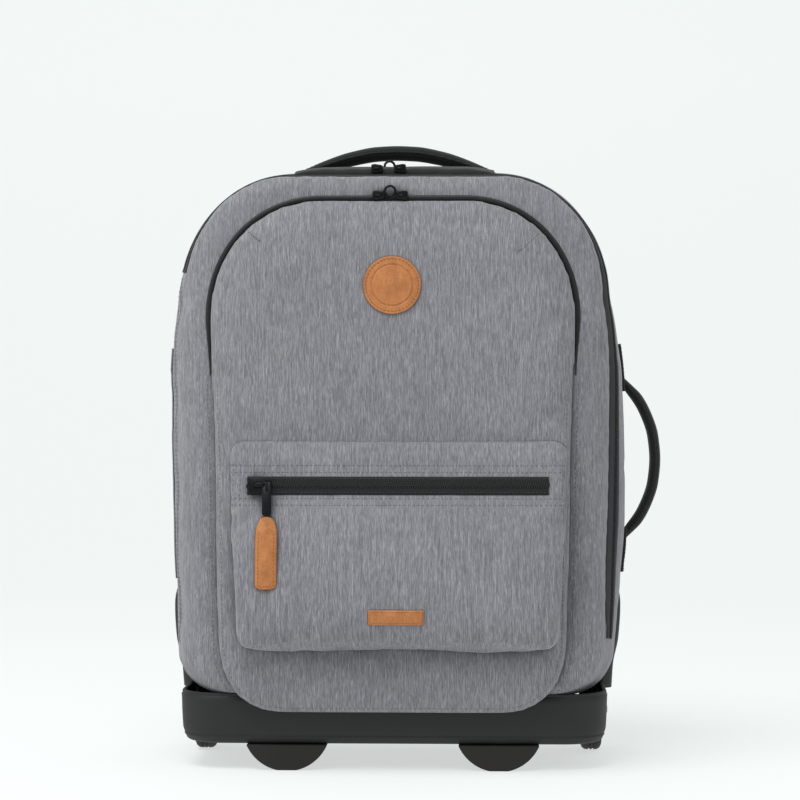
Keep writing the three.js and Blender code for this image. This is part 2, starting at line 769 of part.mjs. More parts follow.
function buildPanel() {
  const sillTop = BODY_BOTTOM + BODY_SECTIONS[0].bottom * BODY_EDGE + THIN_CLOTH * 2;
  const sill = block([-PANEL_WIDTH, PANEL_RIM_Y - THIN_CLOTH, 0], [PANEL_WIDTH, 0, sillTop]);
  const wall = panelSolid(0).subtract(panelSolid(-THIN_CLOTH, -THIN_CLOTH).subtract(sill));
  const zipFrontY = PANEL_RIM_Y - PANEL_DEPTH * PANEL_ROWS[2].stand;
  const zipBackY = zipFrontY + FRONT_ZIP_WIDTH;
  const keep = (point) => point.z > FRONT_ZIP_END_Z - CUT;
  const belt = (trim) =>
    beltSolid(PANEL_SHAPE, PANEL_SHAPE, zipFrontY + trim, zipBackY - trim, CLOTH, CLOTH * 3, keep)
      .subtract(block([-PANEL_WIDTH, -CUT * 3, 0], [PANEL_WIDTH, 0, FRONT_ZIP_END_Z + trim]));
  addFront("front_panel", wall.subtract(belt(0)), GREY);
  addFront("front_zip", wall.intersect(belt(GAP)), BLACK_CLOTH);
}

function windowBlock(trim) {
  const half = POCKET_ZIP_WIDTH / 2 - trim;
  const high = POCKET_ZIP_HEIGHT / 2 - trim;
  const low = [POCKET_OFFSET_X - half, PANEL_FACE_Y - CUT, POCKET_ZIP_Z - high];
  return block(low, [POCKET_OFFSET_X + half, PANEL_FACE_Y, POCKET_ZIP_Z + high]);
}

// A thin layer that lies on a surface, such as a patch: what is between two grown copies.
function layer(solidAt, above, thick) {
  return solidAt(above + thick).subtract(solidAt(above));
}

function buildPocket() {
  const shell = pocketSolid(0).subtract(pocketSolid(-THIN_CLOTH, -THIN_CLOTH));
  const wall = shell.subtract(panelSolid(GAP));
  addFront("front_pocket", wall.subtract(windowBlock(0)), GREY);
  addFront("pocket_zip", wall.intersect(windowBlock(GAP)), BLACK_CLOTH);
}

function buildLeather() {
  const disc = cylinder("y", PATCH_RADIUS, CUT, [0, PANEL_FACE_Y, PATCH_Z], DISC_SIDES);
  addFront("round_patch", layer(panelSolid, GAP, LEATHER).intersect(disc), LEATHER_TAN);
  const low = [LABEL_X - LABEL_WIDTH / 2, PANEL_FACE_Y - CUT, LABEL_Z - LABEL_HEIGHT / 2];
  const high = [LABEL_X + LABEL_WIDTH / 2, PANEL_FACE_Y, LABEL_Z + LABEL_HEIGHT / 2];
  addFront("label_patch", layer(pocketSolid, GAP, LEATHER).intersect(block(low, high)), LEATHER_TAN);
}

// The pocket's slider, its puller and the leather tag that hangs from it.
function buildPull() {
  const zipLeft = POCKET_OFFSET_X - POCKET_ZIP_WIDTH / 2;
  const sliderX = zipLeft + POCKET_SLIDER_LENGTH * 0.65;
  const pullX = zipLeft + POCKET_SLIDER_LENGTH;
  const boxOnPocket = (x, width, low, high) =>
    block([x - width / 2, PANEL_FACE_Y - CUT, low], [x + width / 2, PANEL_FACE_Y, high]);
  const sliderLow = POCKET_ZIP_Z - POCKET_SLIDER_WIDTH / 2;
  const slider = boxOnPocket(sliderX, POCKET_SLIDER_LENGTH, sliderLow, sliderLow + POCKET_SLIDER_WIDTH);
  addFront("pocket_slider", layer(pocketSolid, GAP, SLIDER_THICK).intersect(slider), DARK_METAL);
  const pullerTop = POCKET_ZIP_Z - POCKET_SLIDER_WIDTH / 4;
  const pullerEnd = pullerTop - PULLER_LENGTH;
  const puller = boxOnPocket(pullX, PULLER_WIDTH, pullerEnd, pullerTop);
  const abovePuller = SLIDER_THICK + 2 * GAP;
  addFront("pocket_puller", layer(pocketSolid, abovePuller, PULLER_THICK).intersect(puller), DARK_METAL);
  const tag = tagPrism(pullX, pullerEnd + PULLER_WIDTH / 2);
  addFront("pull_tag", layer(pocketSolid, GAP * 2, LEATHER * 1.6).intersect(tag), LEATHER_TAN);
}

// The tag's outline, narrower and rounded at its top, as a prism along Y.
function tagPrism(x, top) {
  const side = (hand) => TAG_ROWS.map((row) =>
    new THREE.Vector2(x + (hand * row.half * TAG_WIDTH) / 2, top - row.down * TAG_LENGTH));
  const shape = new THREE.Shape([...side(1), ...side(-1).reverse()]);
  const geometry = new THREE.ExtrudeGeometry(shape, { depth: CUT, bevelEnabled: false });
  geometry.rotateX(Math.PI / 2);
  geometry.translate(0, PANEL_FACE_Y, 0);
  return toSolid(geometry);
}

// Two sliders that meet at a ring, on the zip of the front panel or of the case.
function buildSliderPair(prefix, solidAt, x, y) {
  const names = ["a", "b"];
  names.forEach((letter, index) => {
    const centre = x + (index - 0.5) * SLIDER_PITCH;
    const low = [centre - SLIDER_LENGTH / 2, y - SLIDER_WIDTH / 2, PANEL_TOP - CUT / 2];
    const cutter = block(low, [centre + SLIDER_LENGTH / 2, y + SLIDER_WIDTH / 2, BODY_TOP + CUT]);
    addFront(`${prefix}_slider_${letter}`, layer(solidAt, GAP, SLIDER_THICK).intersect(cutter), DARK_METAL);
  });
}

function buildRing(name, x, y, surfaceZ) {
  const geometry = new THREE.TorusGeometry(RING_RADIUS, RING_WIRE, RING_SIDES, RING_STEPS);
  geometry.rotateX(Math.PI / 2);
  geometry.translate(x, y, surfaceZ + GAP + RING_RADIUS + RING_WIRE);
  addFront(name, toSolid(geometry), DARK_METAL);
}

function buildSliders() {
  const zipY = PANEL_RIM_Y - PANEL_DEPTH * PANEL_ROWS[2].stand + FRONT_ZIP_WIDTH / 2;
  buildSliderPair("front", panelSolid, FRONT_SLIDER_X, zipY);
  buildRing("front_ring", FRONT_SLIDER_X, zipY, PANEL_TOP);
  const mainY = (MAIN_ZIP_FRONT_Y + MAIN_ZIP_BACK_Y) / 2;
  const frontTop = BODY_SECTIONS[4].top * BODY_EDGE;
  const backTop = BODY_SECTIONS[5].top * BODY_EDGE;
  const slope = (frontTop - backTop) / (MAIN_ZIP_BACK_Y - MAIN_ZIP_FRONT_Y);
  const mainTop = BODY_TOP - (frontTop + backTop) / 2 + slope * RING_WIRE;
  buildSliderPair("main", bodySolid, MAIN_SLIDER_X, mainY);
  buildRing("main_ring", MAIN_SLIDER_X, mainY, mainTop);
}

// A stretch pocket on the left side, open at its top.
function sidePocketLoft(inset, topZ, bottomZ) {
  const middle = (SIDE_POCKET_FRONT_Y + SIDE_POCKET_BACK_Y) / 2;
  const halfDepth = (SIDE_POCKET_BACK_Y - SIDE_POCKET_FRONT_Y) / 2;
  const steps = 10;
  return loftSolid(SIDE_POCKET_PROFILE.map((row) => {
    const z = THREE.MathUtils.lerp(bottomZ, topZ, row.rise);
    const half = halfDepth * row.across - inset;
    const ring = [];
    for (let step = 0; step <= steps; step += 1) {
      const place = (step / steps) * 2 - 1;
      const stand = (1 - Math.abs(place) ** 4) * (row.stand * SIDE_POCKET_STAND) - inset;
      ring.push(new THREE.Vector3(-BODY_WIDTH / 2 - stand, middle + place * half, z));
    }
    ring.push(new THREE.Vector3(-BODY_WIDTH / 2 + CUT / 3, middle + half, z));
    ring.push(new THREE.Vector3(-BODY_WIDTH / 2 + CUT / 3, middle - half, z));
    return ring;
  }));
}

function buildSidePocket() {
  const outer = sidePocketLoft(0, SIDE_POCKET_TOP, SIDE_POCKET_BOTTOM);
  const inner = sidePocketLoft(THIN_CLOTH, SIDE_POCKET_TOP + CLOTH, SIDE_POCKET_BOTTOM + THIN_CLOTH);
  const shell = outer.subtract(inner).subtract(bodySolid(GAP)).subtract(housingSolid(-1, GAP));
  addCase("side_pocket_left", shell, GREY);
}

// The top handle, with the black padded base between its feet.
function buildTopHandle() {
  const points = TOP_HANDLE_ROUTE.map((row) => new THREE.Vector3(
    TOP_HANDLE_X + row.across * TOP_HANDLE_SPAN, TOP_HANDLE_Y, BODY_TOP + row.up * TOP_HANDLE_RISE));
  const thickAt = (share) => TOP_HANDLE_THICK * readTable(TOP_HANDLE_ROUTE, "across", "thick", share - 0.5);
  const route = new THREE.CatmullRomCurve3(points);
  const side = new THREE.Vector3(0, 1, 0);
  const strip = stripSolid(route, HANDLE_STEPS, side, () => TOP_HANDLE_WIDTH, thickAt);
  const low = [TOP_HANDLE_X - TOP_HANDLE_SPAN / 2, HANDLE_BASE_FRONT_Y, BODY_TOP - CUT];
  const high = [TOP_HANDLE_X + TOP_HANDLE_SPAN / 2, HANDLE_BASE_BACK_Y, BODY_TOP + CUT];
  const base = layer(bodySolid, GAP, HANDLE_BASE_THICK).intersect(block(low, high));
  addCase("top_handle", strip.subtract(bodySolid(GAP)).add(base), BLACK_CLOTH);
}

function buildSideHandle() {
  const middleZ = (SIDE_HANDLE_TOP_Z + SIDE_HANDLE_BOTTOM_Z) / 2;
  const halfZ = (SIDE_HANDLE_TOP_Z - SIDE_HANDLE_BOTTOM_Z) / 2;
  const root = BODY_WIDTH / 2 + SIDE_SWELL;
  const points = SIDE_HANDLE_ROUTE.map((row) => new THREE.Vector3(
    root + row.out * SIDE_HANDLE_REACH, SIDE_HANDLE_Y, middleZ + row.up * halfZ));
  const thickAt = (share) => SIDE_HANDLE_THICK * readTable(SIDE_HANDLE_ROUTE, "up", "thick", share * 2 - 1);
  const route = new THREE.CatmullRomCurve3(points);
  const side = new THREE.Vector3(0, 1, 0);
  const strip = stripSolid(route, HANDLE_STEPS, side, () => SIDE_HANDLE_WIDTH, thickAt);
  addCase("side_handle", strip.subtract(bodySolid(TAB_THICK + 2 * GAP)), BLACK_CLOTH);
  const tabs = {
    side_tab_upper: SIDE_HANDLE_TOP_Z + TAB_HEIGHT / 4,
    side_tab_lower: SIDE_HANDLE_BOTTOM_Z - TAB_HEIGHT / 4,
  };
  for (const [name, z] of Object.entries(tabs)) {
    const low = [BODY_WIDTH / 2 - CUT / 3, SIDE_HANDLE_Y - TAB_WIDTH / 2, z - TAB_HEIGHT / 2];
    const high = [BODY_WIDTH / 2 + CUT / 3, SIDE_HANDLE_Y + TAB_WIDTH / 2, z + TAB_HEIGHT / 2];
    addCase(name, layer(bodySolid, GAP, TAB_THICK).intersect(block(low, high)), BLACK_CLOTH);
  }
}

// The padded back with open channels over the tubes of the telescopic handle.
function buildBack() {
  let solid = backSolid(0);
  for (const hand of [-1, 1]) {
    const half = OUTER_TUBE.across / 2 + GAP;
    const low = [hand * TUBE_X - half, BODY_BACK_Y - CUT, TRAY_TOP - CUT];
    const high = [hand * TUBE_X + half, TUBE_Y + OUTER_TUBE.deep / 2 + GAP, BACK_TOP + CUT];
    solid = solid.subtract(block(low, high));
  }
  addCase("back_panel", solid, BLACK_CLOTH);
}

function backRoute(rows, hand, faceY) {
  return new THREE.CatmullRomCurve3(rows.map((row) => new THREE.Vector3(
    hand * row.across * (BACK_WIDTH / 2), faceY + row.stand,
    THREE.MathUtils.lerp(TRAY_TOP, BACK_TOP, row.rise))));
}

function buildStraps() {
  const side = new THREE.Vector3(1, 0, 0);
  const face = BODY_BACK_Y + GAP + BACK_THICK;
  for (const [word, hand] of [["left", -1], ["right", 1]]) {
    const widthAt = (share) => STRAP_WIDTH * (1 - 0.3 * share ** 2);
    const thickAt = (share) => STRAP_THICK * (0.55 + 0.45 * Math.sin(Math.PI * Math.min(share + 0.1, 0.9)));
    const route = backRoute(STRAP_ROUTE, hand, face + STRAP_THICK / 2);
    const pad = stripSolid(route, STRAP_STEPS, side, widthAt, thickAt).subtract(backSolid(GAP));
    addCase(`shoulder_strap_${word}`, pad, BLACK_CLOTH);
    const web = backRoute(WEBBING_ROUTE, hand, face + WEBBING_THICK);
    const webbing = stripSolid(web, WEBBING_STEPS, side, () => WEBBING_WIDTH, () => WEBBING_THICK);
    const wideAt = (share) => widthAt(share) + 2 * GAP;
    const deepAt = (share) => thickAt(share) + 2 * GAP;
    const clear = stripSolid(route, STRAP_STEPS, side, wideAt, deepAt);
    addCase(`webbing_${word}`, webbing.subtract(backSolid(GAP)).subtract(clear), BLACK_CLOTH);
  }
}

// A dished moulding with ribs, two wheel housings and sockets for the handle's tubes.
function buildTray() {
  const rings = TRAY_SECTIONS.map((section) => {
    const half = TRAY_WIDTH / 2 - section.inset;
    const z = THREE.MathUtils.lerp(TRAY_BOTTOM, TRAY_TOP, section.rise);
    const low = TRAY_FRONT_Y + section.inset;
    const high = TRAY_BACK_Y - section.inset;
    const plan = roundedPlan(-half, half, low, high, TRAY_CORNER);
    return plan.map((point) => new THREE.Vector3(point.x, point.y, z));
  });
  let tray = loftSolid(rings).subtract(bodySolid(GAP));
  for (let column = 0; column < 3; column += 1) {
    for (let row = 0; row < 2; row += 1) {
      const width = (2 * HOUSING_INNER_X - 4 * TRAY_WALL) / 3;
      const lowX = -HOUSING_INNER_X + TRAY_WALL + column * (width + TRAY_WALL);
      const depth = (BODY_BACK_Y - TRAY_FRONT_Y - 6 * TRAY_WALL) / 2;
      const lowY = TRAY_FRONT_Y + 3 * TRAY_WALL + row * (depth + TRAY_WALL);
      const low = [lowX, lowY, TRAY_BOTTOM + TRAY_WALL];
      tray = tray.subtract(block(low, [lowX + width, lowY + depth, TRAY_TOP + CUT]));
    }
  }
  for (const hand of [-1, 1]) {
    tray = tray.add(housingSolid(hand, 0));
  }
  for (const hand of [-1, 1]) {
    tray = tray.subtract(wheelWell(hand)).subtract(tubeSocket(hand));
  }
  addChassis("base_tray", tray, BLACK_PLASTIC);
}

function wheelWell(hand) {
  const half = WHEEL_WIDTH / 2 + WHEEL_CLEARANCE;
  const radius = WHEEL_RADIUS + WHEEL_CLEARANCE;
  const x = hand * WHEEL_X;
  const round = cylinder("x", radius, half * 2, [x, WHEEL_Y, WHEEL_RADIUS], DISC_SIDES);
  const below = block([x - half, WHEEL_Y - radius, -CUT], [x + half, WHEEL_Y + radius, WHEEL_RADIUS]);
  const bore = cylinder("x", AXLE_RADIUS + GAP, CUT, [x, WHEEL_Y, WHEEL_RADIUS], AXLE_SIDES);
  return round.add(below).add(bore);
}

function tubeSocket(hand) {
  const x = hand * TUBE_X;
  const half = OUTER_TUBE.across / 2 + GAP;
  const deep = OUTER_TUBE.deep / 2 + GAP;
  return block([x - half, TUBE_Y - deep, TUBE_FOOT_Z - GAP], [x + half, TUBE_Y + deep, TRAY_TOP + CUT]);
}

function buildFeet() {
  const centreZ = Math.sqrt(FOOT_RADIUS ** 2 - (FOOT_FLAT / 2) ** 2);
  const start = Math.asin((TRAY_BOTTOM - GAP - centreZ) / FOOT_RADIUS);
  const flat = Math.asin(-centreZ / FOOT_RADIUS);
  for (const [word, hand] of [["left", -1], ["right", 1]]) {
    const shape = new THREE.Shape();
    shape.absarc(0, centreZ, FOOT_RADIUS, Math.PI - start, Math.PI - flat, false);
    shape.absarc(0, centreZ, FOOT_RADIUS, flat, start, false);
    shape.closePath();
    const cut = { depth: FOOT_THICK, bevelEnabled: false, curveSegments: FOOT_STEPS };
    const geometry = new THREE.ExtrudeGeometry(shape, cut);
    geometry.rotateX(Math.PI / 2);
    geometry.translate(hand * FOOT_X, TRAY_FRONT_Y + 2 + FOOT_THICK, 0);
    addChassis(`front_foot_${word}`, toSolid(geometry), RUBBER);
  }
}

// A ring turned about the wheel's axle from a table of radii and places across the wheel.
function turned(rows, bore, rim, hand) {
  const half = WHEEL_WIDTH / 2;
  const profile = rows.map((row) => new THREE.Vector2(bore + row.out * (rim - bore), row.across * half));
  profile.push(profile[0].clone());
  const geometry = new THREE.LatheGeometry(profile, WHEEL_SIDES);
  geometry.rotateZ(-Math.PI / 2);
  geometry.translate(hand * WHEEL_X, WHEEL_Y, WHEEL_RADIUS);
  return toSolid(geometry);
}

function buildWheels() {
  for (const [word, hand] of [["left", -1], ["right", 1]]) {
    addChassis(`tyre_${word}`, turned(TYRE_ROWS, HUB_RADIUS + GAP, WHEEL_RADIUS, hand), RUBBER);
    addChassis(`hub_${word}`, turned(HUB_ROWS, AXLE_RADIUS + GAP, HUB_RADIUS, hand), BLACK_PLASTIC);
    const length = WHEEL_WIDTH + 2 * WHEEL_CLEARANCE + 2 * GAP + TRAY_WALL;
    const centre = [hand * WHEEL_X, WHEEL_Y, WHEEL_RADIUS];
    addChassis(`axle_${word}`, cylinder("x", AXLE_RADIUS, length, centre, AXLE_SIDES), STEEL);
  }
}

function tubeSolid(size, x, low, high) {
  const lowCorner = [x - size.across / 2, TUBE_Y - size.deep / 2, low];
  const outer = block(lowCorner, [x + size.across / 2, TUBE_Y + size.deep / 2, high]);
  const across = size.across / 2 - TUBE_WALL;
  const deep = size.deep / 2 - TUBE_WALL;
  const bore = block([x - across, TUBE_Y - deep, low - CUT], [x + across, TUBE_Y + deep, high + CUT]);
  return outer.subtract(bore);
}

// The telescopic handle, pushed all the way in.
function buildTelescope() {
  const bridgeLow = TUBE_TOP_Z + GAP;
  const bridgeHigh = bridgeLow + BRIDGE_THICK;
  const gripLow = bridgeHigh + FINGER_GAP;
  for (const [word, hand] of [["left", -1], ["right", 1]]) {
    const x = hand * TUBE_X;
    addChassis(`outer_tube_${word}`, tubeSolid(OUTER_TUBE, x, TUBE_FOOT_Z, TUBE_TOP_Z), STEEL);
    addChassis(`mid_tube_${word}`, tubeSolid(MID_TUBE, x, TUBE_FOOT_Z + TUBE_STEP, TUBE_TOP_Z), STEEL);
    const inner = tubeSolid(INNER_TUBE, x, TUBE_FOOT_Z + 2 * TUBE_STEP, gripLow - GAP);
    addChassis(`inner_tube_${word}`, inner, STEEL);
  }
  const reach = TUBE_X + OUTER_TUBE.across / 2;
  const deep = OUTER_TUBE.deep / 2;
  let bridge = block([-reach, TUBE_Y - deep, bridgeLow], [reach, TUBE_Y + deep, bridgeHigh]);
  for (const hand of [-1, 1]) {
    const across = INNER_TUBE.across / 2 + GAP;
    const half = INNER_TUBE.deep / 2 + GAP;
    const low = [hand * TUBE_X - across, TUBE_Y - half, 0];
    bridge = bridge.subtract(block(low, [hand * TUBE_X + across, TUBE_Y + half, BODY_TOP]));
  }
  addChassis("mid_bridge", bridge, BLACK_PLASTIC);
  const gripHalf = TUBE_X + GRIP_OVERHANG;
  const gripY = TUBE_Y + (GRIP_DEPTH - OUTER_TUBE.deep) / 2;
  const rings = GRIP_ENDS.map(({ along, slim }) => {
    const half = GRIP_DEPTH / 2 - slim;
    const low = gripLow + slim;
    const high = gripLow + GRIP_HEIGHT - slim;
    const plan = roundedPlan(gripY - half, gripY + half, low, high, GRIP_CORNER);
    return plan.map((point) => new THREE.Vector3(along * gripHalf, point.x, point.y));
  });
  addChassis("grip", loftSolid(rings), BLACK_PLASTIC);
}

buildBody();
buildPanel();
buildPocket();
buildLeather();
buildPull();
buildSliders();
buildSidePocket();
buildTopHandle();
buildSideHandle();
buildBack();
buildStraps();
buildTray();
buildFeet();
buildWheels();
buildTelescope();

const group = new THREE.Group();
group.add(FRONT, CASE, CHASSIS);
group.updateMatrixWorld(true);
const box = new THREE.Box3().setFromObject(group);
const middle = box.getCenter(new THREE.Vector3());
group.position.set(-middle.x, -middle.y, -box.min.z);

export default group;
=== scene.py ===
"""A grey wheeled backpack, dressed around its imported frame.

Shapes are worked out in millimetres in the case's own frame (x right seen from the front,
the front faces -y, z up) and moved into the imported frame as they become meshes.
"""
import math

import bpy
import bmesh
import numpy as np
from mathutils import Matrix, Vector
from mathutils.bvhtree import BVHTree


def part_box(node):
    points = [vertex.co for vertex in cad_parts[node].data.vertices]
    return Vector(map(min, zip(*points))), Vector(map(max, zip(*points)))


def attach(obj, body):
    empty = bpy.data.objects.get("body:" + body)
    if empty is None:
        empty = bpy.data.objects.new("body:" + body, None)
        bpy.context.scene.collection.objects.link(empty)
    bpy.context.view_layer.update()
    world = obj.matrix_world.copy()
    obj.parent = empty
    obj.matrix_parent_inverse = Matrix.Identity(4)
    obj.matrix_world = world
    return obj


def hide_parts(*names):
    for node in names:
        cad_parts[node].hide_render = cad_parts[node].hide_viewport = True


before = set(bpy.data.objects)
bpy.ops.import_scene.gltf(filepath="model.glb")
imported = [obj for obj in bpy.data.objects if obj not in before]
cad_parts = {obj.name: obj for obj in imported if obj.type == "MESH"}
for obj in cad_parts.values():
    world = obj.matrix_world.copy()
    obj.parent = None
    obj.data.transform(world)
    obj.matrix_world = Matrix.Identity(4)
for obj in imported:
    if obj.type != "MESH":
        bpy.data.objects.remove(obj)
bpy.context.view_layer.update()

MM = 0.001
GAP = 0.3

# Main case
BODY_WIDTH = 358.0
BODY_FRONT_Y = -82.0
BODY_BACK_Y = 72.0
BODY_TOP = 484.0
BODY_BOTTOM = 56.0
BODY_EDGE = 35.0
BODY_CORNER_ACROSS = 90.0
BODY_CORNER_UP = 105.0
BODY_LOWER_ACROSS = 50.0
BODY_LOWER_UP = 38.0
SIDE_SWELL = 7.0
FRONT_LEAN = 12.0
MAIN_ZIP_FRONT_Y = -54.0
MAIN_ZIP_BACK_Y = -44.0
MAIN_ZIP_LEFT_END_Z = 400.0
MAIN_ZIP_RIGHT_END_Z = 104.0

# Front panel
PANEL_WIDTH = 293.0
PANEL_TOP = 457.0
PANEL_BOTTOM = 47.0
PANEL_DEPTH = 16.0
FRONT_ZIP_END_Z = 315.0

# Front pocket
POCKET_WIDTH = 268.0
POCKET_X = 5.0
POCKET_TOP = 265.0
POCKET_BOTTOM = 99.0
POCKET_BULGE = 32.0
POCKET_SINK = 8.0
POCKET_ZIP_WIDTH = 238.0
POCKET_ZIP_HEIGHT = 14.4
POCKET_ZIP_Z = 229.0

# Leather
PATCH_RADIUS = 23.0
PATCH_Z = 387.0
PATCH_THICK = 1.8
LABEL_WIDTH = 43.5
LABEL_HEIGHT = 11.5
LABEL_X = 4.5
LABEL_Z = 127.0
TAG_WIDTH = 17.0
TAG_LENGTH = 57.0

# Base and running gear
TRAY_WIDTH = 346.0
TRAY_FRONT_Y = -77.0
TRAY_BACK_Y = 90.0
TRAY_BOTTOM = 20.8
TRAY_TOP = 62.0
TRAY_CORNER = 34.0
HOUSING_TOP = 150.0
HOUSING_INNER_X = 147.5
HOUSING_OUTER_X = 186.5
HOUSING_FRONT_Y = 12.0
HOUSING_DEPTH = 79.0
WHEEL_RADIUS = 34.0
WHEEL_WIDTH = 18.0
WHEEL_X = 163.5
WHEEL_Y = 56.0
WHEEL_CLEARANCE = 3.0
HUB_RADIUS = 24.0
FOOT_RADIUS = 35.5
FOOT_X = 85.0
FOOT_THICK = 26.0
FOOT_FLAT = 15.0

PANEL_RIM_Y = BODY_FRONT_Y - GAP
PANEL_FACE_Y = PANEL_RIM_Y - PANEL_DEPTH
PANEL_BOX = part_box("front_panel")
SHIFT = np.array([
    (PANEL_BOX[0][0] + PANEL_BOX[1][0]) / 2 / MM,
    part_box("body_shell")[1][1] / MM - BODY_BACK_Y,
    0.0,
])

# Sections of the case from front to back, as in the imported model: depth along the case, and
# how far the outline comes in at the side, top and bottom, as shares of BODY_EDGE.
BODY_SECTIONS = {
    "depth": [0, 0.013, 0.045, 0.097, 0.182, 0.247, 0.37, 0.6, 0.91, 0.974, 1],
    "side": [0.754, 0.525, 0.34, 0.183, 0.087, 0, 0, 0, 0.12, 0.34, 0.6],
    "top": [0.4, 0.306, 0.246, 0.2, 0.171, 0.137, 0.086, 0, 0.05, 0.2, 0.45],
    "bottom": [0.3, 0.2, 0.14, 0.09, 0.05, 0, 0, 0, 0, 0.1, 0.3],
    "bulge": [0, 0, 0, 0, 0, 0.55, 0.85, 1, 0.3, 0, 0],
    "power": [2.12, 2.12, 2.12, 2.12, 2.0, 1.94, 1.94, 2.0, 2.0, 2.0, 2.0],
}
BODY_SIDES = {
    "rise": [0, 0.2, 0.4, 0.6, 0.78, 0.9, 1],
    "width": [0.975, 0.98, 0.988, 0.996, 1, 0.992, 0.972],
    "bulge": [0.02, 0.05, 0.062, 0.05, 0.036, 0.02, 0.006],
}
PANEL_SIDES = {"rise": [0, 0.3, 0.6, 0.85, 1], "width": [0.955, 0.966, 0.977, 0.992, 1]}
POCKET_SIDES = {"rise": [0, 0.5, 1], "width": [0.95, 0.975, 1]}
POCKET_PROFILE = {
    "rise": [0, 0.06, 0.14, 0.4, 0.65, 0.78, 0.92, 1],
    "stand": [0.9, 1, 1.02, 0.9, 0.62, 0.49, 0.4, 0.36],
}
PANEL_ROWS = {
    "inset": [0, 0.2, 3, 8, 16, 40],
    "stand": [0, 0.2, 0.58, 0.8, 0.9, 0.96],
}
HOUSING_SECTIONS = {
    "rise": [0, 0.2, 0.46, 0.76, 0.93, 1],
    "out": [0.86, 0.88, 0.98, 1.02, 0.96, 0.8],
    "front": [0.1, 0.04, 0, 0.05, 0.18, 0.32],
    "back": [0.02, 0, 0, 0.02, 0.06, 0.16],
}

# Outlines of the panel and the pocket
PANEL_SHAPE = {
    "half": PANEL_WIDTH / 2, "side_in": 0.0, "top": PANEL_TOP, "bottom": PANEL_BOTTOM,
    "upper_across": 90.0, "upper_up": 96.0, "lower_across": 62.0, "lower_up": 73.0,
    "lower_power": 2.7, "upper_power": 2.1, "sides": PANEL_SIDES,
}
POCKET_SHAPE = {
    "half": POCKET_WIDTH / 2, "side_in": 0.0, "top": POCKET_TOP, "bottom": POCKET_BOTTOM,
    "upper_across": 12.0, "upper_up": 12.0, "lower_across": 14.0, "lower_up": 14.0,
    "lower_power": 2.2, "upper_power": 2.0, "sides": POCKET_SIDES, "middle_x": POCKET_X,
}

# How hard each padded piece is blown up, and how far its skin may move
BODY_PUFF = {"pressure": 2.4, "cap": 2.0}
PANEL_PUFF = {"pressure": 3.0, "cap": 3.0}
POCKET_PUFF = {"pressure": 3.2, "cap": 4.0}
BACK_PUFF = {"pressure": 3.0, "cap": 2.6}
CLOTH_FRAMES = 16
CLOTH_STIFFNESS = 12.0

# A stitch from end to end: along as a share of its length, lift and fat as shares of its thickness
STITCH = {
    "along": [-0.5, -0.34, 0.0, 0.34, 0.5],
    "lift": [-0.55, 0.32, 0.5, 0.32, -0.55],
    "fat": [0.55, 0.9, 1.0, 0.9, 0.55],
}
STITCH_SIDES = 6
CLOTH_SEAM = {"long": 2.6, "gap": 1.1, "thick": 0.5}
TAPE_SINK = 0.6
AHEAD = (0, 1, 0)

# Flaps in front of the main zip's ends
FLAP_REACH = 9.0
FLAP_TOP_Z = 440.0
FLAP_OPENING = 70.0

# Sliders, puller and tag
SLIDER_PITCH = 18.6
SLIDER_WIDTH = 8.0
SLIDER_LENGTH = 9.6
RING_RADIUS = 4.1
POCKET_SLIDER_X = -103.5
PULL_X = -97.6
TAG_TOP_Z = 205.0
TAG_END_Z = 148.5
TAG_CORNER = 4.2

# Seams
SEAM_LIMIT_Z = FRONT_ZIP_END_Z - 6.0
DARTS = {
    "left": ((-114.5, 430.5), (-106.0, 423.0)),
    "right": ((118.0, 431.0), (101.0, 415.0)),
}
POCKET_SEAM_ROWS = (245.0, 239.5, 219.0, 213.8)
POCKET_SEAM_ENDS = (-126.5, 136.5)

# Handles
TOP_HANDLE_MIDDLE_X = 0.0
TOP_HANDLE_Y = 28.0
TOP_HANDLE_SPAN = 163.0
TOP_HANDLE_RISE = 28.0
TOP_HANDLE_THICK = 12.0
TOP_HANDLE_WIDTH = 30.0
TOP_HANDLE_ROUTE = {
    "across": [-0.53, -0.5, -0.43, -0.36, -0.24, -0.1, 0, 0.1, 0.24, 0.36, 0.43, 0.5, 0.53],
    "up": [-0.04, 0.06, 0.2, 0.34, 0.55, 0.7, 0.725, 0.7, 0.55, 0.34, 0.2, 0.06, -0.04],
    "thick": [0.12, 0.34, 0.62, 0.8, 0.95, 1, 1, 1, 0.95, 0.8, 0.62, 0.34, 0.12],
    "wide": [1.2, 1.16, 1.05, 0.97, 0.9, 0.86, 0.86, 0.86, 0.9, 0.97, 1.05, 1.16, 1.2],
}
SIDE_HANDLE_Y = 10.0
SIDE_HANDLE_X = BODY_WIDTH / 2 + SIDE_SWELL
SIDE_HANDLE_Z = 248.0
SIDE_HANDLE_REACH = 29.0
SIDE_HANDLE_RISE = 64.0
SIDE_HANDLE_THICK = 9.0
SIDE_HANDLE_WIDTH = 24.0
SIDE_HANDLE_ROUTE = {
    "up": [1.08, 1.0, 0.9, 0.78, 0.6, 0.3, 0, -0.3, -0.6, -0.78, -0.9, -1.0, -1.08],
    "out": [-0.02, 0.1, 0.28, 0.5, 0.72, 0.94, 1, 0.94, 0.72, 0.5, 0.28, 0.1, -0.02],
    "thick": [0.4, 0.6, 0.85, 1, 1, 1, 1, 1, 1, 1, 0.85, 0.6, 0.4],
}
HANDLE_BASE_THICK = 5.0
HANDLE_BASE_FRONT_Y = -40.0
HANDLE_BASE_BACK_Y = 45.0

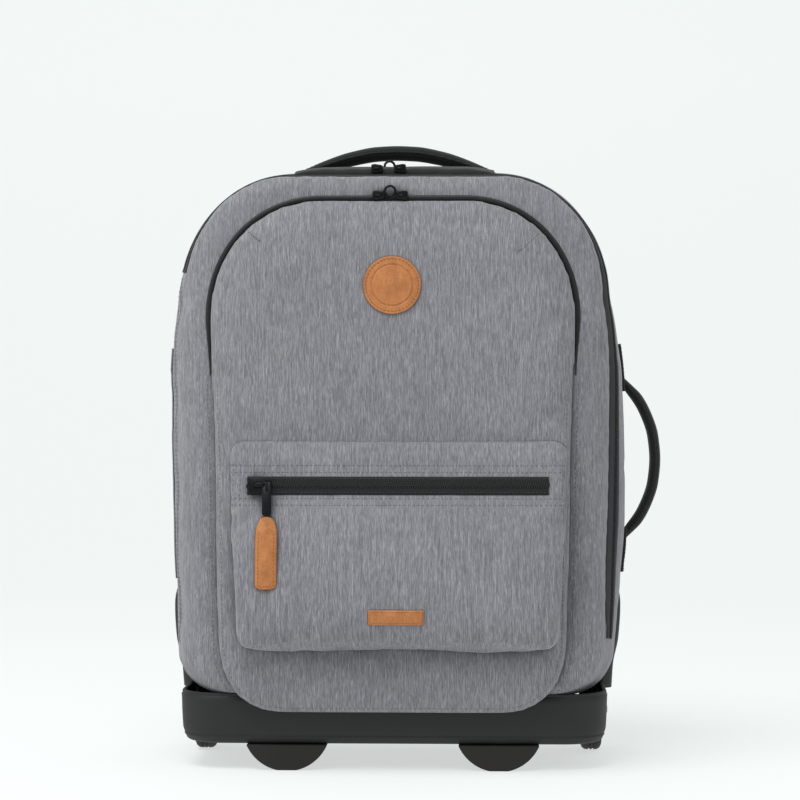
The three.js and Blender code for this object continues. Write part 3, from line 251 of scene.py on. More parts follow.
# Side pocket
SIDE_POCKET_TOP = 339.0
SIDE_POCKET_BOTTOM = 151.0
SIDE_POCKET_FRONT_Y = -36.0
SIDE_POCKET_BACK_Y = 54.0
SIDE_POCKET_STAND = 3.4
SIDE_POCKET_HEM = 20.0
SEAM_STAND = 1.4
SIDE_POCKET_RISE = {
    "rise": [0, 0.05, 0.14, 0.3, 0.6, 0.85, 0.9, 1],
    "stand": [0.12, 0.55, 0.84, 1.0, 1.0, 0.93, 0.85, 0.9],
}

# The base from its foot up to its rim, as (height above the foot, inset)
TRAY_WALL = 4.0
TRAY_OUTSIDE = (
    (0.0, 9.0), (0.25, 7.2), (0.9, 5.6), (2.4, 4.0), (4.4, 3.2), (5.0, 2.6), (6.2, 2.2), (6.8, 2.7), (8.0, 2.0),
    (11, 1.2), (17, 0.8), (25, 0.4), (33, 0.2), (38, 0.0), (38.6, 0.7), (39.4, 0.9), (40.2, 0.5), (40.9, 0.9),
    (41.2, 1.6),
)
TRAY_INSIDE = (
    (41.2, TRAY_WALL - 0.6), (40.8, TRAY_WALL), (30, TRAY_WALL), (8, TRAY_WALL + 2), (5, TRAY_WALL + 6),
)
FOOT_FRONT_Y = -75.0
SIDE_TABS = {"side_tab_upper": (304.0, 343.0), "side_tab_lower": (155.0, 191.0)}
SIDE_TAB_WIDTH = 31.0

# Back, straps and webbing
BACK_WIDTH = 292.0
BACK_THICK = 18.0
BACK_TOP = 434.0
BACK_CORNER = 46.0
BACK_LOWER_CORNER = 16.0
TUBE_X = 50.0
TUBE_ACROSS = 20.0
TUBE_DEEP = 12.0
TUBE_Y = BODY_BACK_Y + 2 * GAP + TUBE_DEEP / 2
STRAP_WIDTH = 58.0
STRAP_THICK = 11.0
WEBBING_WIDTH = 25.0
WEBBING_THICK = 2.0
BACK_SHAPE = {
    "half": BACK_WIDTH / 2, "side_in": 0.0, "top": BACK_TOP, "bottom": TRAY_TOP + GAP,
    "upper_across": BACK_CORNER, "upper_up": BACK_CORNER,
    "lower_across": BACK_LOWER_CORNER, "lower_up": BACK_LOWER_CORNER,
    "lower_power": 2.0, "upper_power": 2.0, "sides": {"rise": [0, 1], "width": [1, 1]},
}
BACK_ROWS = {"inset": [0, 0.3, 4, 10, 30], "stand": [0, 0.6, 0.86, 0.95, 1]}
QUILT_HEIGHTS = (128.0, 200.0, 272.0, 344.0)
QUILT_CHANNEL = 9.0
STRAP_ROUTE = {
    "across": [0.3, 0.36, 0.5, 0.6, 0.66],
    "rise": [0.97, 0.88, 0.7, 0.52, 0.36],
    "stand": [-3, 4, 7, 7, 2],
}
WEBBING_ROUTE = {"across": [0.64, 0.665, 0.71, 0.76], "rise": [0.39, 0.35, 0.2, 0.07], "stand": [4, 5, 4, -1.6]}

# Grip
GRIP_LOW_Z = 463.3
GRIP_HEIGHT = 21.0
GRIP_DEPTH = 15.0
GRIP_HALF = 62.0
GRIP_ENDS = {
    "along": [-1, -0.99, -0.965, -0.92, -0.84, -0.7, 0, 0.7, 0.84, 0.92, 0.965, 0.99, 1],
    "slim": [4.2, 2.4, 1.2, 0.5, 0.1, 0, 0.5, 0, 0.1, 0.5, 1.2, 2.4, 4.2],
}

# Light and camera
KEY_POWER = 46.0
LEFT_POWER = 6.0
RIGHT_POWER = 3.0
SKY_POWER = 0.5
FLOOR_TONE = (0.913, 0.947, 0.939)
FLOOR_GLOW = 0.64
FLOOR_ALBEDO = 0.40
CAMERA_LENS = 110.6
CAMERA_TURN = 2.0
CAMERA_AIM_X = 6.0
CAMERA_PIVOT_Y = -75.0
CAMERA_HEIGHT = 296.8
CAMERA_DISTANCE = 1966.0


def smooth_read(table, column, at):
    """Reads a column of a table on a smooth curve that never overshoots its rows.

    The table's first column says where its rows are.
    """
    x = np.asarray(next(iter(table.values())), float)
    y = np.asarray(table[column], float)
    at = np.clip(np.asarray(at, float), x[0], x[-1])
    step = np.diff(x)
    slope = np.diff(y) / step
    tangent = np.zeros_like(y)
    tangent[0], tangent[-1] = slope[0], slope[-1]
    same = slope[:-1] * slope[1:] > 0
    mean = 2 * slope[:-1] * slope[1:] / np.where(same, slope[:-1] + slope[1:], 1)
    tangent[1:-1] = np.where(same, mean, 0)
    low = np.clip(np.searchsorted(x, at) - 1, 0, len(step) - 1)
    t = (at - x[low]) / step[low]
    value = (1 + 2 * t) * (1 - t) ** 2 * y[low]
    value = value + t * (1 - t) ** 2 * step[low] * tangent[low]
    value = value + t * t * (3 - 2 * t) * y[low + 1]
    return value + t * t * (t - 1) * step[low] * tangent[low + 1]


def read_row(table, at):
    """All the columns of a table at one place."""
    return {column: float(smooth_read(table, column, at)) for column in table}


def smooth_step(low, high, value):
    """0 up to low, 1 from high on, and a smooth rise between them."""
    t = np.clip((np.asarray(value, float) - low) / (high - low), 0, 1)
    return t * t * (3 - 2 * t)


def ripple(points, size, seed, waves=10):
    """Smooth random waves of about one size, between -1 and 1, the same on every run."""
    draw = np.random.default_rng(seed)
    total = np.zeros(len(points))
    for _ in range(waves):
        direction = draw.normal(size=3)
        direction /= np.linalg.norm(direction)
        length = size * draw.uniform(0.7, 1.5)
        total += np.sin(points @ direction * (2 * math.pi / length) + draw.uniform(0, 2 * math.pi))
    return total / math.sqrt(waves * 2)


def lean(points):
    """Leans the front of the case back towards its top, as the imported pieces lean."""
    moved = np.array(points, float)
    forward = np.clip((MAIN_ZIP_FRONT_Y - moved[:, 1]) / (MAIN_ZIP_FRONT_Y - BODY_FRONT_Y), 0, 1)
    rise = (moved[:, 2] - PANEL_BOTTOM) / (BODY_TOP - PANEL_BOTTOM)
    moved[:, 1] += FRONT_LEAN * forward * rise
    return moved


def to_scene(points):
    return (np.asarray(points, float) + SHIFT) * MM


def to_case(points):
    return np.asarray(points, float) / MM - SHIFT


def vertex_places(obj):
    places = np.empty(len(obj.data.vertices) * 3)
    obj.data.vertices.foreach_get("co", places)
    return to_case(places.reshape(-1, 3))


def set_places(obj, points):
    obj.data.vertices.foreach_set("co", to_scene(points).ravel())
    obj.data.update()


def vertex_normals(obj):
    normals = np.empty(len(obj.data.vertices) * 3)
    obj.data.vertex_normals.foreach_get("vector", normals)
    return normals.reshape(-1, 3)


def new_piece(name, points, faces, material, smooth=True):
    """Makes a mesh object from points in the case's frame."""
    mesh = bpy.data.meshes.new(name)
    mesh.from_pydata(to_scene(points).tolist(), [], [list(map(int, face)) for face in faces])
    mesh.validate()
    mesh.shade_smooth() if smooth else mesh.shade_flat()
    obj = bpy.data.objects.new(name, mesh)
    bpy.context.collection.objects.link(obj)
    obj.data.materials.append(material)
    return obj


def ring_faces(rows, count, closed=True):
    """Quads between rows of points."""
    faces = []
    last = count if closed else count - 1
    for row in range(rows - 1):
        for step in range(last):
            a = row * count + step
            b = row * count + (step + 1) % count
            faces.append((a, b, b + count, a + count))
    return faces


def tube_faces(rows, count):
    """The faces of a closed form through rows of points, with a flat cap at each end."""
    last = (rows - 1) * count
    return ring_faces(rows, count) + [tuple(range(count))[::-1], tuple(range(last, last + count))]


def thick_sheet(name, top, bottom, rows, material):
    """A sheet between two grids of points, with a wall round its border."""
    total = len(top)
    count = total // rows
    faces = ring_faces(rows, count, closed=False)
    faces += [tuple(index + total for index in face)[::-1] for face in faces]
    border = list(range(count)) + [count * (row + 1) - 1 for row in range(1, rows)]
    border += [total - 1 - step for step in range(1, count)]
    border += [count * row for row in range(rows - 2, 0, -1)]
    for here, after in zip(border, border[1:] + border[:1]):
        faces.append((here, after, after + total, here + total))
    return face_out(new_piece(name, np.vstack([top, bottom]), faces, material))


def shrunk(ring, shares):
    """A ring of points drawn in towards its middle, by a share along each axis."""
    middle = ring.mean(axis=0)
    return middle + (ring - middle) * np.array(shares)


def face_out(obj):
    """Turns all the faces of a closed mesh outwards."""
    mesh = bmesh.new()
    mesh.from_mesh(obj.data)
    bmesh.ops.recalc_face_normals(mesh, faces=mesh.faces)
    mesh.to_mesh(obj.data)
    mesh.free()
    return obj


def loft(name, rings, material):
    """A closed skin through rings of points, with a fan at each end."""
    rings = np.asarray(rings, float)
    rows, count, _ = rings.shape
    points = rings.reshape(-1, 3)
    faces = ring_faces(rows, count)
    first = len(points)
    points = np.vstack([points, rings[0].mean(axis=0), rings[-1].mean(axis=0)])
    for step in range(count):
        after = (step + 1) % count
        faces.append((after, step, first))
        faces.append(((rows - 1) * count + step, (rows - 1) * count + after, first + 1))
    return face_out(new_piece(name, points, faces, material))


def side_width(shape, z, bulge):
    """How far an outline reaches from its middle at a height."""
    foot = shape["bottom"] + shape["lower_up"]
    shoulder = shape["top"] - shape["upper_up"]
    rise = (z - foot) / (shoulder - foot)
    width = smooth_read(shape["sides"], "width", rise)
    if bulge:
        width = width + bulge * smooth_read(shape["sides"], "bulge", rise)
    return shape["half"] * width - shape["side_in"]


def outline(shape, inset, count):
    """The outline of an upright bag, count points evenly spaced from its bottom middle."""
    halves = []
    for hand in (1, -1):
        bulge = shape.get("bulge", 0) if hand > 0 else 0
        top = shape["top"] - inset
        bottom = shape["bottom"] + inset
        foot = shape["bottom"] + shape["lower_up"]
        shoulder = shape["top"] - shape["upper_up"]
        foot_half = side_width(shape, foot, bulge) - inset
        shoulder_half = side_width(shape, shoulder, bulge) - inset
        lower = max(shape["lower_across"] - inset - shape["side_in"], 4.0)
        upper = max(shape["upper_across"] - inset - shape["side_in"], 4.0)
        turn = np.linspace(0, math.pi / 2, 40)
        low_power = 2 / shape["lower_power"]
        up_power = 2 / shape["upper_power"]
        low_x = foot_half - lower + lower * np.sin(turn) ** low_power
        low_z = foot - (foot - bottom) * np.cos(turn) ** low_power
        side_z = np.linspace(foot, shoulder, 60)[1:-1]
        side_x = side_width(shape, side_z, bulge) - inset
        up_x = shoulder_half - upper + upper * np.cos(turn) ** up_power
        up_z = shoulder + (top - shoulder) * np.sin(turn) ** up_power
        x = np.concatenate([[0], low_x, side_x, up_x, [0]])
        z = np.concatenate([[bottom], low_z, side_z, up_z, [top]])
        far = np.concatenate([[0], np.cumsum(np.hypot(np.diff(x), np.diff(z)))])
        even = np.linspace(0, far[-1], count // 2 + 1)
        halves.append(np.column_stack([hand * np.interp(even, far, x), np.interp(even, far, z)]))
    whole = np.vstack([halves[0], halves[1][::-1][1:-1]])
    whole[:, 0] += shape.get("middle_x", 0)
    return whole


def body_shape(depth):
    """The measures of the case's outline at one depth."""
    section = read_row(BODY_SECTIONS, depth)
    return {
        "half": BODY_WIDTH / 2,
        "side_in": section["side"] * BODY_EDGE,
        "top": BODY_TOP - section["top"] * BODY_EDGE,
        "bottom": BODY_BOTTOM + section["bottom"] * BODY_EDGE,
        "upper_across": BODY_CORNER_ACROSS,
        "upper_up": BODY_CORNER_UP - section["top"] * BODY_EDGE,
        "lower_across": BODY_LOWER_ACROSS,
        "lower_up": BODY_LOWER_UP,
        "lower_power": 2.3,
        "upper_power": section["power"],
        "sides": BODY_SIDES,
        "bulge": section["bulge"],
    }


# Materials


SOCKETS = {
    "metallic": "Metallic",
    "sheen_weight": "Sheen Weight",
    "sheen_roughness": "Sheen Roughness",
    "specular_ior_level": "Specular IOR Level",
}


class Nodes:
    """A short way to write a material's node tree."""

    def __init__(self, name):
        self.material = bpy.data.materials.new(name)
        self.material.use_nodes = True
        self.tree = self.material.node_tree
        self.shader = self.tree.nodes["Principled BSDF"]

    def add(self, kind, inputs=None, **settings):
        node = self.tree.nodes.new(kind)
        for key, value in settings.items():
            setattr(node, key, value)
        for key, value in (inputs or {}).items():
            self.feed(node.inputs[key], value)
        return node

    def feed(self, socket, value):
        if isinstance(value, bpy.types.NodeSocket):
            self.tree.links.new(value, socket)
        else:
            socket.default_value = value

    def place(self, scale):
        """Object coordinates in metres, stretched by a scale for each axis."""
        where = self.add("ShaderNodeTexCoord").outputs["Object"]
        return self.add("ShaderNodeMapping", {"Vector": where, "Scale": scale}).outputs["Vector"]

    def noise(self, vector, scale, detail=2.0, rough=0.5):
        inputs = {"Vector": vector, "Scale": scale, "Detail": detail, "Roughness": rough}
        return self.add("ShaderNodeTexNoise", inputs).outputs["Fac"]

    def grain(self, size, detail=2.0, rough=0.5):
        """Noise of one grain size in all directions."""
        return self.noise(self.place((size, size, size)), 1.0, detail, rough)

    def math(self, operation, a, b=0.0, clamp=False):
        node = self.add("ShaderNodeMath", {0: a, 1: b}, operation=operation, use_clamp=clamp)
        return node.outputs[0]

    def ramp(self, value, stops):
        node = self.add("ShaderNodeValToRGB", {"Fac": value})
        ramp = node.color_ramp
        while len(ramp.elements) < len(stops):
            ramp.elements.new(0.5)
        for element, (position, color) in zip(ramp.elements, stops):
            element.position = position
            element.color = (*color, 1.0) if len(color) == 3 else color
        return node.outputs["Color"]

    def multiply(self, a, b):
        """One colour times another."""
        inputs = {0: 1.0, 6: a, 7: b}
        node = self.add("ShaderNodeMix", inputs, data_type="RGBA", blend_type="MULTIPLY")
        return node.outputs[2]

    def blend(self, share, a, b):
        """From one value to another by a share."""
        return self.add("ShaderNodeMix", {0: share, 2: a, 3: b}, data_type="FLOAT").outputs[0]

    def bump(self, height, strength, distance, before=None):
        inputs = {"Height": height, "Strength": strength, "Distance": distance}
        if before is not None:
            inputs["Normal"] = before
        return self.add("ShaderNodeBump", inputs).outputs["Normal"]

    def finish(self, color, roughness, normal=None, **sockets):
        if isinstance(color, tuple):
            color = (*color, 1.0)
        self.feed(self.shader.inputs["Base Color"], color)
        self.feed(self.shader.inputs["Roughness"], roughness)
        if normal is not None:
            self.feed(self.shader.inputs["Normal"], normal)
        for key, value in sockets.items():
            self.shader.inputs[SOCKETS[key]].default_value = value
        return self.material


def grey_melange():
    """Grey cloth of light and dark yarns that run up the bag, whichever way its surface faces, darkened by painted
    shade where other surfaces come close.
    """
    n = Nodes("grey_melange")
    normal = n.add("ShaderNodeNewGeometry").outputs["Normal"]
    facing = n.add("ShaderNodeSeparateXYZ", {0: normal})
    turned = {1: 0.62, 2: 0.76}
    side = n.math("ABSOLUTE", facing.outputs["X"])
    side = n.add("ShaderNodeMapRange", {0: side, **turned}, interpolation_type="SMOOTHSTEP").outputs[0]
    lying = n.math("ABSOLUTE", facing.outputs["Z"])
    lying = n.add("ShaderNodeMapRange", {0: lying, **turned}, interpolation_type="SMOOTHSTEP").outputs[0]

    def yarns(across, along, none):
        fronts = n.noise(n.place((across, none, along)), 1.0, 2.0, 0.6)
        flanks = n.noise(n.place((none, across, along)), 1.0, 2.0, 0.6)
        tops = n.noise(n.place((across, along, none)), 1.0, 2.0, 0.6)
        upright_yarns = n.blend(side, fronts, flanks)
        return n.blend(lying, upright_yarns, tops)

    fine = yarns(2600, 170, 30)
    slub = yarns(820, 42, 12)
    cross = n.noise(n.place((420, 420, 2100)), 1.0, 1.0, 0.5)
    yarn = n.math("ADD", n.math("MULTIPLY", fine, 0.62), n.math("MULTIPLY", slub, 0.30))
    yarn = n.math("ADD", yarn, n.math("MULTIPLY", cross, 0.08))
    cloud = n.grain(9, 3.0, 0.5)
    color = n.ramp(yarn, [
        (0.34, (0.122, 0.121, 0.138)),
        (0.46, (0.188, 0.185, 0.204)),
        (0.54, (0.248, 0.244, 0.265)),
        (0.66, (0.375, 0.370, 0.395)),
    ])
    shade = n.ramp(cloud, [(0.3, (0.93, 0.93, 0.94)), (0.7, (1.05, 1.05, 1.05))])
    color = n.multiply(color, shade)
    # Painted shade: ambient occlusion darkens the cloth's colour where other surfaces come close (seams, creases,
    # under the pocket, by the handles), down to 0.16 of its tone.
    corner = n.add("ShaderNodeAmbientOcclusion", {"Distance": 0.05}, samples=6).outputs["AO"]
    depth = n.ramp(corner, [(0.3, (0.16, 0.16, 0.16)), (0.84, (1.0, 1.0, 1.0))])
    color = n.multiply(color, depth)
    weave = n.grain(1500, 1.0)
    height = n.bump(n.math("ADD", weave, yarn), 0.35, 0.0004)
    return n.finish(color, 0.92, height, sheen_weight=0.22, sheen_roughness=0.5, specular_ior_level=0.25)


def black_cloth(name, scale, depth, color=(0.0075, 0.0075, 0.0078), ribs=None):
    """Dark woven cloth or webbing; ribs gives the axis that its ribs repeat along."""
    n = Nodes(name)
    grain = n.grain(scale, 2.0)
    height = grain
    if ribs:
        inputs = {"Vector": n.place((1, 1, 1)), "Scale": 160.0, "Distortion": 0.6, "Detail": 1.0}
        wave = n.add("ShaderNodeTexWave", inputs, wave_type="BANDS", bands_direction=ribs)
        height = n.math("ADD", grain, n.math("MULTIPLY", wave.outputs["Fac"], 0.8))
    light = tuple(part * 2.3 for part in color)
    shade = n.ramp(grain, [(0.35, color), (0.75, light)])
    return n.finish(shade, 0.85, n.bump(height, 0.5, depth), sheen_weight=0.15, specular_ior_level=0.3)


def air_mesh():
    """Black spacer mesh: a honeycomb of small holes between soft threads, the holes darkened by painted shade."""
    n = Nodes("black_mesh")
    inputs = {"Vector": n.place((1, 0.35, 0.8)), "Scale": 330.0, "Randomness": 0.25}
    cells = n.add("ShaderNodeTexVoronoi", inputs, feature="DISTANCE_TO_EDGE").outputs["Distance"]
    fuzz = n.grain(2400, 2.0)
    # The honeycomb is the mesh's own pattern; the near-black hole centres are painted shade inside the holes.
    color = n.ramp(cells, [
        (0.05, (0.034, 0.034, 0.036)),
        (0.2, (0.020, 0.020, 0.021)),
        (0.42, (0.004, 0.004, 0.004)),
    ])
    height = n.math("SUBTRACT", n.math("MULTIPLY", fuzz, 0.25), cells)
    return n.finish(color, 0.9, n.bump(height, 0.8, 0.0012), sheen_weight=0.2, specular_ior_level=0.2)


def zip_black():
    n = Nodes("zip_black")
    grain = n.grain(1800, 1.0)
    color = n.ramp(grain, [(0.3, (0.007, 0.007, 0.0075)), (0.8, (0.018, 0.018, 0.019))])
    return n.finish(color, 0.55, n.bump(grain, 0.3, 0.0002), specular_ior_level=0.45)


def tan_leather():
    """Smooth tan leather with a fine grain, darker in its pores and patches."""
    n = Nodes("tan_leather")
    pores = n.add("ShaderNodeTexVoronoi", {"Vector": n.place((1, 1, 1)), "Scale": 1500.0}, feature="F1")
    grain = n.grain(700, 4.0, 0.6)
    cloud = n.noise(n.place((120, 120, 60)), 1.0, 3.0, 0.6)
    color = n.ramp(cloud, [
        (0.25, (0.365, 0.136, 0.043)),
        (0.5, (0.487, 0.186, 0.0585)),
        (0.75, (0.574, 0.235, 0.082)),
    ])
    fleck = n.ramp(grain, [(0.35, (0.86, 0.84, 0.82)), (0.65, (1.06, 1.06, 1.06))])
    color = n.multiply(color, fleck)
    height = n.math("ADD", n.math("MULTIPLY", pores.outputs["Distance"], 0.6), grain)
    rough = n.add("ShaderNodeMapRange", {0: grain, 3: 0.48, 4: 0.66}).outputs[0]
    return n.finish(color, rough, n.bump(height, 0.35, 0.0004), specular_ior_level=0.4)


def moulded_black(name, color, rough, grain_size=1600.0, strength=0.2):
    """Moulded plastic or rubber with a fine spark grain and slight wear in its gloss."""
    n = Nodes(name)
    grain = n.grain(grain_size)
    wear = n.grain(35, 3.0)
    light = tuple(part * 1.7 for part in color)
    shade = n.ramp(wear, [(0.3, color), (0.8, light)])
    gloss = n.add("ShaderNodeMapRange", {0: wear, 1: 0.3, 2: 0.7, 3: rough - 0.06, 4: rough + 0.06}).outputs[0]
    return n.finish(shade, gloss, n.bump(grain, strength, 0.0002), specular_ior_level=0.4)


def satin_metal(name, color, rough, metallic=1.0):
    n = Nodes(name)
    brush = n.noise(n.place((300, 300, 4000)), 1.0, 2.0)
    gloss = n.add("ShaderNodeMapRange", {0: brush, 3: rough - 0.08, 4: rough + 0.08}).outputs[0]
    tint = n.ramp(brush, [(0.3, tuple(part * 0.85 for part in color)), (0.7, color)])
    return n.finish(tint, gloss, n.bump(brush, 0.08, 0.0001), metallic=metallic)


def thread(name, color):
    n = Nodes(name)
    twist = n.grain(3500, 1.0)
    shade = n.ramp(twist, [(0.3, tuple(part * 0.75 for part in color)), (0.7, color)])
    return n.finish(shade, 0.8, n.bump(twist, 0.4, 0.0002), sheen_weight=0.1)


GREY = grey_melange()
BLACK_CLOTH = black_cloth("black_cloth", 1300, 0.0004)
BLACK_WEBBING = black_cloth("black_webbing", 1100, 0.0005, ribs="Z")
BLACK_MESH = air_mesh()
ZIP_BLACK = zip_black()
LEATHER = tan_leather()
BLACK_METAL = satin_metal("black_metal", (0.016, 0.016, 0.018), 0.36, 0.85)
BLACK_PLASTIC = moulded_black("black_plastic", (0.0125, 0.0120, 0.0122), 0.62)
BLACK_RUBBER = moulded_black("black_rubber", (0.0115, 0.0098, 0.0095), 0.7, 900.0, 0.3)
ALUMINIUM = satin_metal("aluminium_satin", (0.55, 0.56, 0.57), 0.38)
STEEL = satin_metal("steel_satin", (0.5, 0.5, 0.5), 0.34)
GREY_THREAD = thread("grey_thread", (0.17, 0.17, 0.185))
BLACK_THREAD = thread("black_thread", (0.05, 0.05, 0.052))
TAN_THREAD = thread("tan_thread", (0.30, 0.11, 0.035))


# Cloth and surfaces


def densify(obj, size):
    """Gives a closed piece an even mesh with edges of about size millimetres."""
    remesh = obj.modifiers.new("even mesh", "REMESH")
    remesh.mode = "VOXEL"
    remesh.voxel_size = size * MM
    remesh.use_smooth_shade = True
    bake(obj)
    return obj


def bake(obj):
    """Turns an object's modifiers into its mesh."""
    graph = bpy.context.evaluated_depsgraph_get()
    materials = list(obj.data.materials)
    mesh = bpy.data.meshes.new_from_object(obj.evaluated_get(graph))
    obj.modifiers.clear()
    obj.data = mesh
    if not mesh.materials:
        for material in materials:
            mesh.materials.append(material)
    mesh.shade_smooth()


def puff(obj, hold, pressure, cap):
    """Blows a padded piece up as cloth, with hold(points) giving how firmly each point is sewn down.

    No point ends further than cap millimetres from where it started.
    """
    before = vertex_places(obj)
    group = obj.vertex_groups.new(name="sewn")
    for index, weight in enumerate(hold(before)):
        if weight > 0.01:
            group.add([index], float(min(weight, 1.0)), "REPLACE")
    cloth = obj.modifiers.new("cloth", "CLOTH")
    settings = cloth.settings
    settings.quality = 5
    settings.mass = 0.3
    settings.tension_stiffness = CLOTH_STIFFNESS
    settings.compression_stiffness = CLOTH_STIFFNESS
    settings.shear_stiffness = CLOTH_STIFFNESS * 0.5
    settings.bending_stiffness = 0.6
    settings.use_pressure = True
    settings.uniform_pressure_force = pressure
    settings.vertex_group_mass = "sewn"
    settings.pin_stiffness = 2.0
    settings.shrink_min = -0.012
    settings.effector_weights.gravity = 0
    cloth.point_cache.frame_start = 1
    cloth.point_cache.frame_end = CLOTH_FRAMES
    scene = bpy.context.scene
    for step in range(1, CLOTH_FRAMES + 1):
        scene.frame_set(step)
    bake(obj)
    scene.frame_set(1)
    obj.vertex_groups.clear()
    after = vertex_places(obj)
    move = after - before
    far = np.linalg.norm(move, axis=1, keepdims=True)
    soft = cap * np.tanh(far / cap)
    set_places(obj, before + move * np.where(far > 1e-6, soft / np.maximum(far, 1e-6), 0))
    return obj


def subdivide(obj):
    """One level of smooth subdivision."""
    obj.modifiers.new("smooth", "SUBSURF").levels = 1
    bake(obj)


def crease(obj, hold, upright_share, waves, share=1):
    """Moves the free skin of a padded piece in and out by two random waves of (size, seed, depth)."""
    places = vertex_places(obj)
    stretch = np.array([1, 1, upright_share])
    (size, seed, depth), (small_size, small_seed, small_depth) = waves
    creases = ripple(places * stretch, size, seed) * depth + ripple(places, small_size, small_seed) * small_depth
    soft = 1 - hold(places)
    set_places(obj, places + vertex_normals(obj) * (creases * soft * share)[:, None])


class Surface:
    """Finds points on the finished skin of a piece, in the case's frame."""

    def __init__(self, obj):
        mesh = obj.data
        points = vertex_places(obj)
        self.tree = BVHTree.FromPolygons(points.tolist(), [list(face.vertices) for face in mesh.polygons])

    def along(self, points, direction):
        """Where lines through the points, all in one direction, first meet the skin."""
        found, normals = [], []
        aim = Vector(direction).normalized()
        for point in points:
            start = Vector(point) - aim * 400
            place, normal, _, _ = self.tree.ray_cast(start, aim)
            if place is None:
                place, normal, _, _ = self.tree.find_nearest(Vector(point))
            if normal.dot(aim) > 0:
                normal = -normal
            found.append(tuple(place))
            normals.append(tuple(normal))
        return np.array(found), np.array(normals)

    def ground(self, points, direction=None):
        """Where points land on the skin: along a direction, or at the nearest place."""
        return self.nearest(points) if direction is None else self.along(points, direction)

    def nearest(self, points):
        found, normals = [], []
        for point in points:
            place, normal, _, _ = self.tree.find_nearest(Vector(point))
            found.append(tuple(place))
            normals.append(tuple(normal))
        return np.array(found), np.array(normals)


def distance_to_line(points, line):
    """How far each point is from a line of points, and the nearest place along it in mm."""
    line = np.asarray(line, float)
    best = np.full(len(points), 1e9)
    along = np.zeros(len(points))
    run = 0.0
    for start, end in zip(line[:-1], line[1:]):
        edge = end - start
        length = float(np.linalg.norm(edge))
        if length < 1e-9:
            continue
        t = np.clip((points - start) @ edge / length ** 2, 0, 1)
        away = np.linalg.norm(points - (start + t[:, None] * edge), axis=1)
        closer = away < best
        best[closer] = away[closer]
        along[closer] = run + t[closer] * length
        run += length
    return best, along


def resample(line, step):
    """Points evenly spaced along a line, about step apart, with their tangents."""
    line = np.asarray(line, float)
    far = np.concatenate([[0], np.cumsum(np.linalg.norm(np.diff(line, axis=0), axis=1))])
    count = max(2, int(round(far[-1] / step)) + 1)
    even = np.linspace(0, far[-1], count)
    points = np.column_stack([np.interp(even, far, line[:, axis]) for axis in range(line.shape[1])])
    tangents = np.gradient(points, axis=0)
    tangents /= np.maximum(np.linalg.norm(tangents, axis=1, keepdims=True), 1e-9)
    return points, tangents


# Small made pieces


class Heap:
    """Collects many small parts into one mesh."""

    def __init__(self):
        self.points = []
        self.faces = []
        self.count = 0

    def add(self, points, faces):
        self.points.append(np.asarray(points, float))
        self.faces.extend([tuple(index + self.count for index in face) for face in faces])
        self.count += len(points)

    def piece(self, name, material, smooth=True):
        return new_piece(name, np.vstack(self.points), self.faces, material, smooth)


def frames_along(tangents, normals):
    """A tangent, a side and an up for each point of a line that lies on a surface."""
    tangents = np.asarray(tangents, float)
    normals = np.asarray(normals, float)
    sides = np.cross(normals, tangents)
    sides /= np.maximum(np.linalg.norm(sides, axis=1, keepdims=True), 1e-9)
    ups = np.cross(tangents, sides)
    ups /= np.maximum(np.linalg.norm(ups, axis=1, keepdims=True), 1e-9)
    return sides, ups


def sweep(heap, places, normals, profile):
    """Sweeps a profile of (side, up) points along a line on a surface."""
    sides, ups = frames_along(np.gradient(places, axis=0), normals)
    points = (places[:, None, :] + sides[:, None, :] * profile[None, :, 0:1]
              + ups[:, None, :] * profile[None, :, 1:2])
    heap.add(points.reshape(-1, 3), tube_faces(len(places), len(profile)))


def round_profile(width, height, sides=8):
    """An ellipse of (side, up) points."""
    turn = np.linspace(0, 2 * math.pi, sides, endpoint=False)
    return np.column_stack([width / 2 * np.cos(turn), height / 2 * np.sin(turn)])


def flat_profile(width, thick):
    """A flat band with softened edges, standing thick above the surface."""
    half = width / 2
    edge = min(0.35, thick * 0.49)
    return np.array([
        (-half, 0), (-half, thick - edge), (-half + edge, thick),
        (half - edge, thick), (half, thick - edge), (half, 0),
        (half - edge, -TAPE_SINK), (-half + edge, -TAPE_SINK),
    ])


def stitches(heap, line, surface, direction, long, gap, thick, sink=0.1):
    """Lays a row of stitches along a line, on a surface."""
    places, tangents = resample(line, long + gap)
    ground, normals = surface.ground(places, direction)
    turn = np.linspace(0, 2 * math.pi, STITCH_SIDES, endpoint=False)
    for place, side, up in zip(ground, *frames_along(tangents, normals)):
        forward = np.cross(side, up)
        middle = place - up * sink
        rings = []
        for along, lift, fat in zip(*STITCH.values()):
            centre = middle + forward * (along * long) + up * (lift * thick)
            radius = thick / 2 * fat
            rings.append(centre + np.outer(np.cos(turn) * radius, side) + np.outer(np.sin(turn) * radius, up))
        heap.add(np.vstack(rings), tube_faces(len(rings), STITCH_SIDES))


def sew(name, lines, surface, thread, slot, direction=None, **stitch):
    """Sews rows of stitches along lines on a surface, as one piece."""
    seam = Heap()
    for line in lines:
        stitches(seam, line, surface, direction, **stitch)
    put_on(seam.piece(name, thread), None)


def solid_prism(heap, plan, low, high, edge, place, across, up, out):
    """A prism over a plan of (u, v) points with softened top edges, placed by three axes."""
    plan = np.asarray(plan, float)
    centre = plan.mean(axis=0)
    reach = np.maximum(np.linalg.norm(plan - centre, axis=1, keepdims=True), 1e-6)

    def drawn_in(amount):
        return centre + (plan - centre) * (1 - amount / reach)

    rows = [
        (plan, low), (plan, high - edge), (drawn_in(edge * 0.3), high - edge * 0.3), (drawn_in(edge), high),
    ]
    points = [place + np.outer(row[:, 0], across) + np.outer(row[:, 1], up) + level * out for row, level in rows]
    heap.add(np.vstack(points), tube_faces(len(rows), len(plan)))


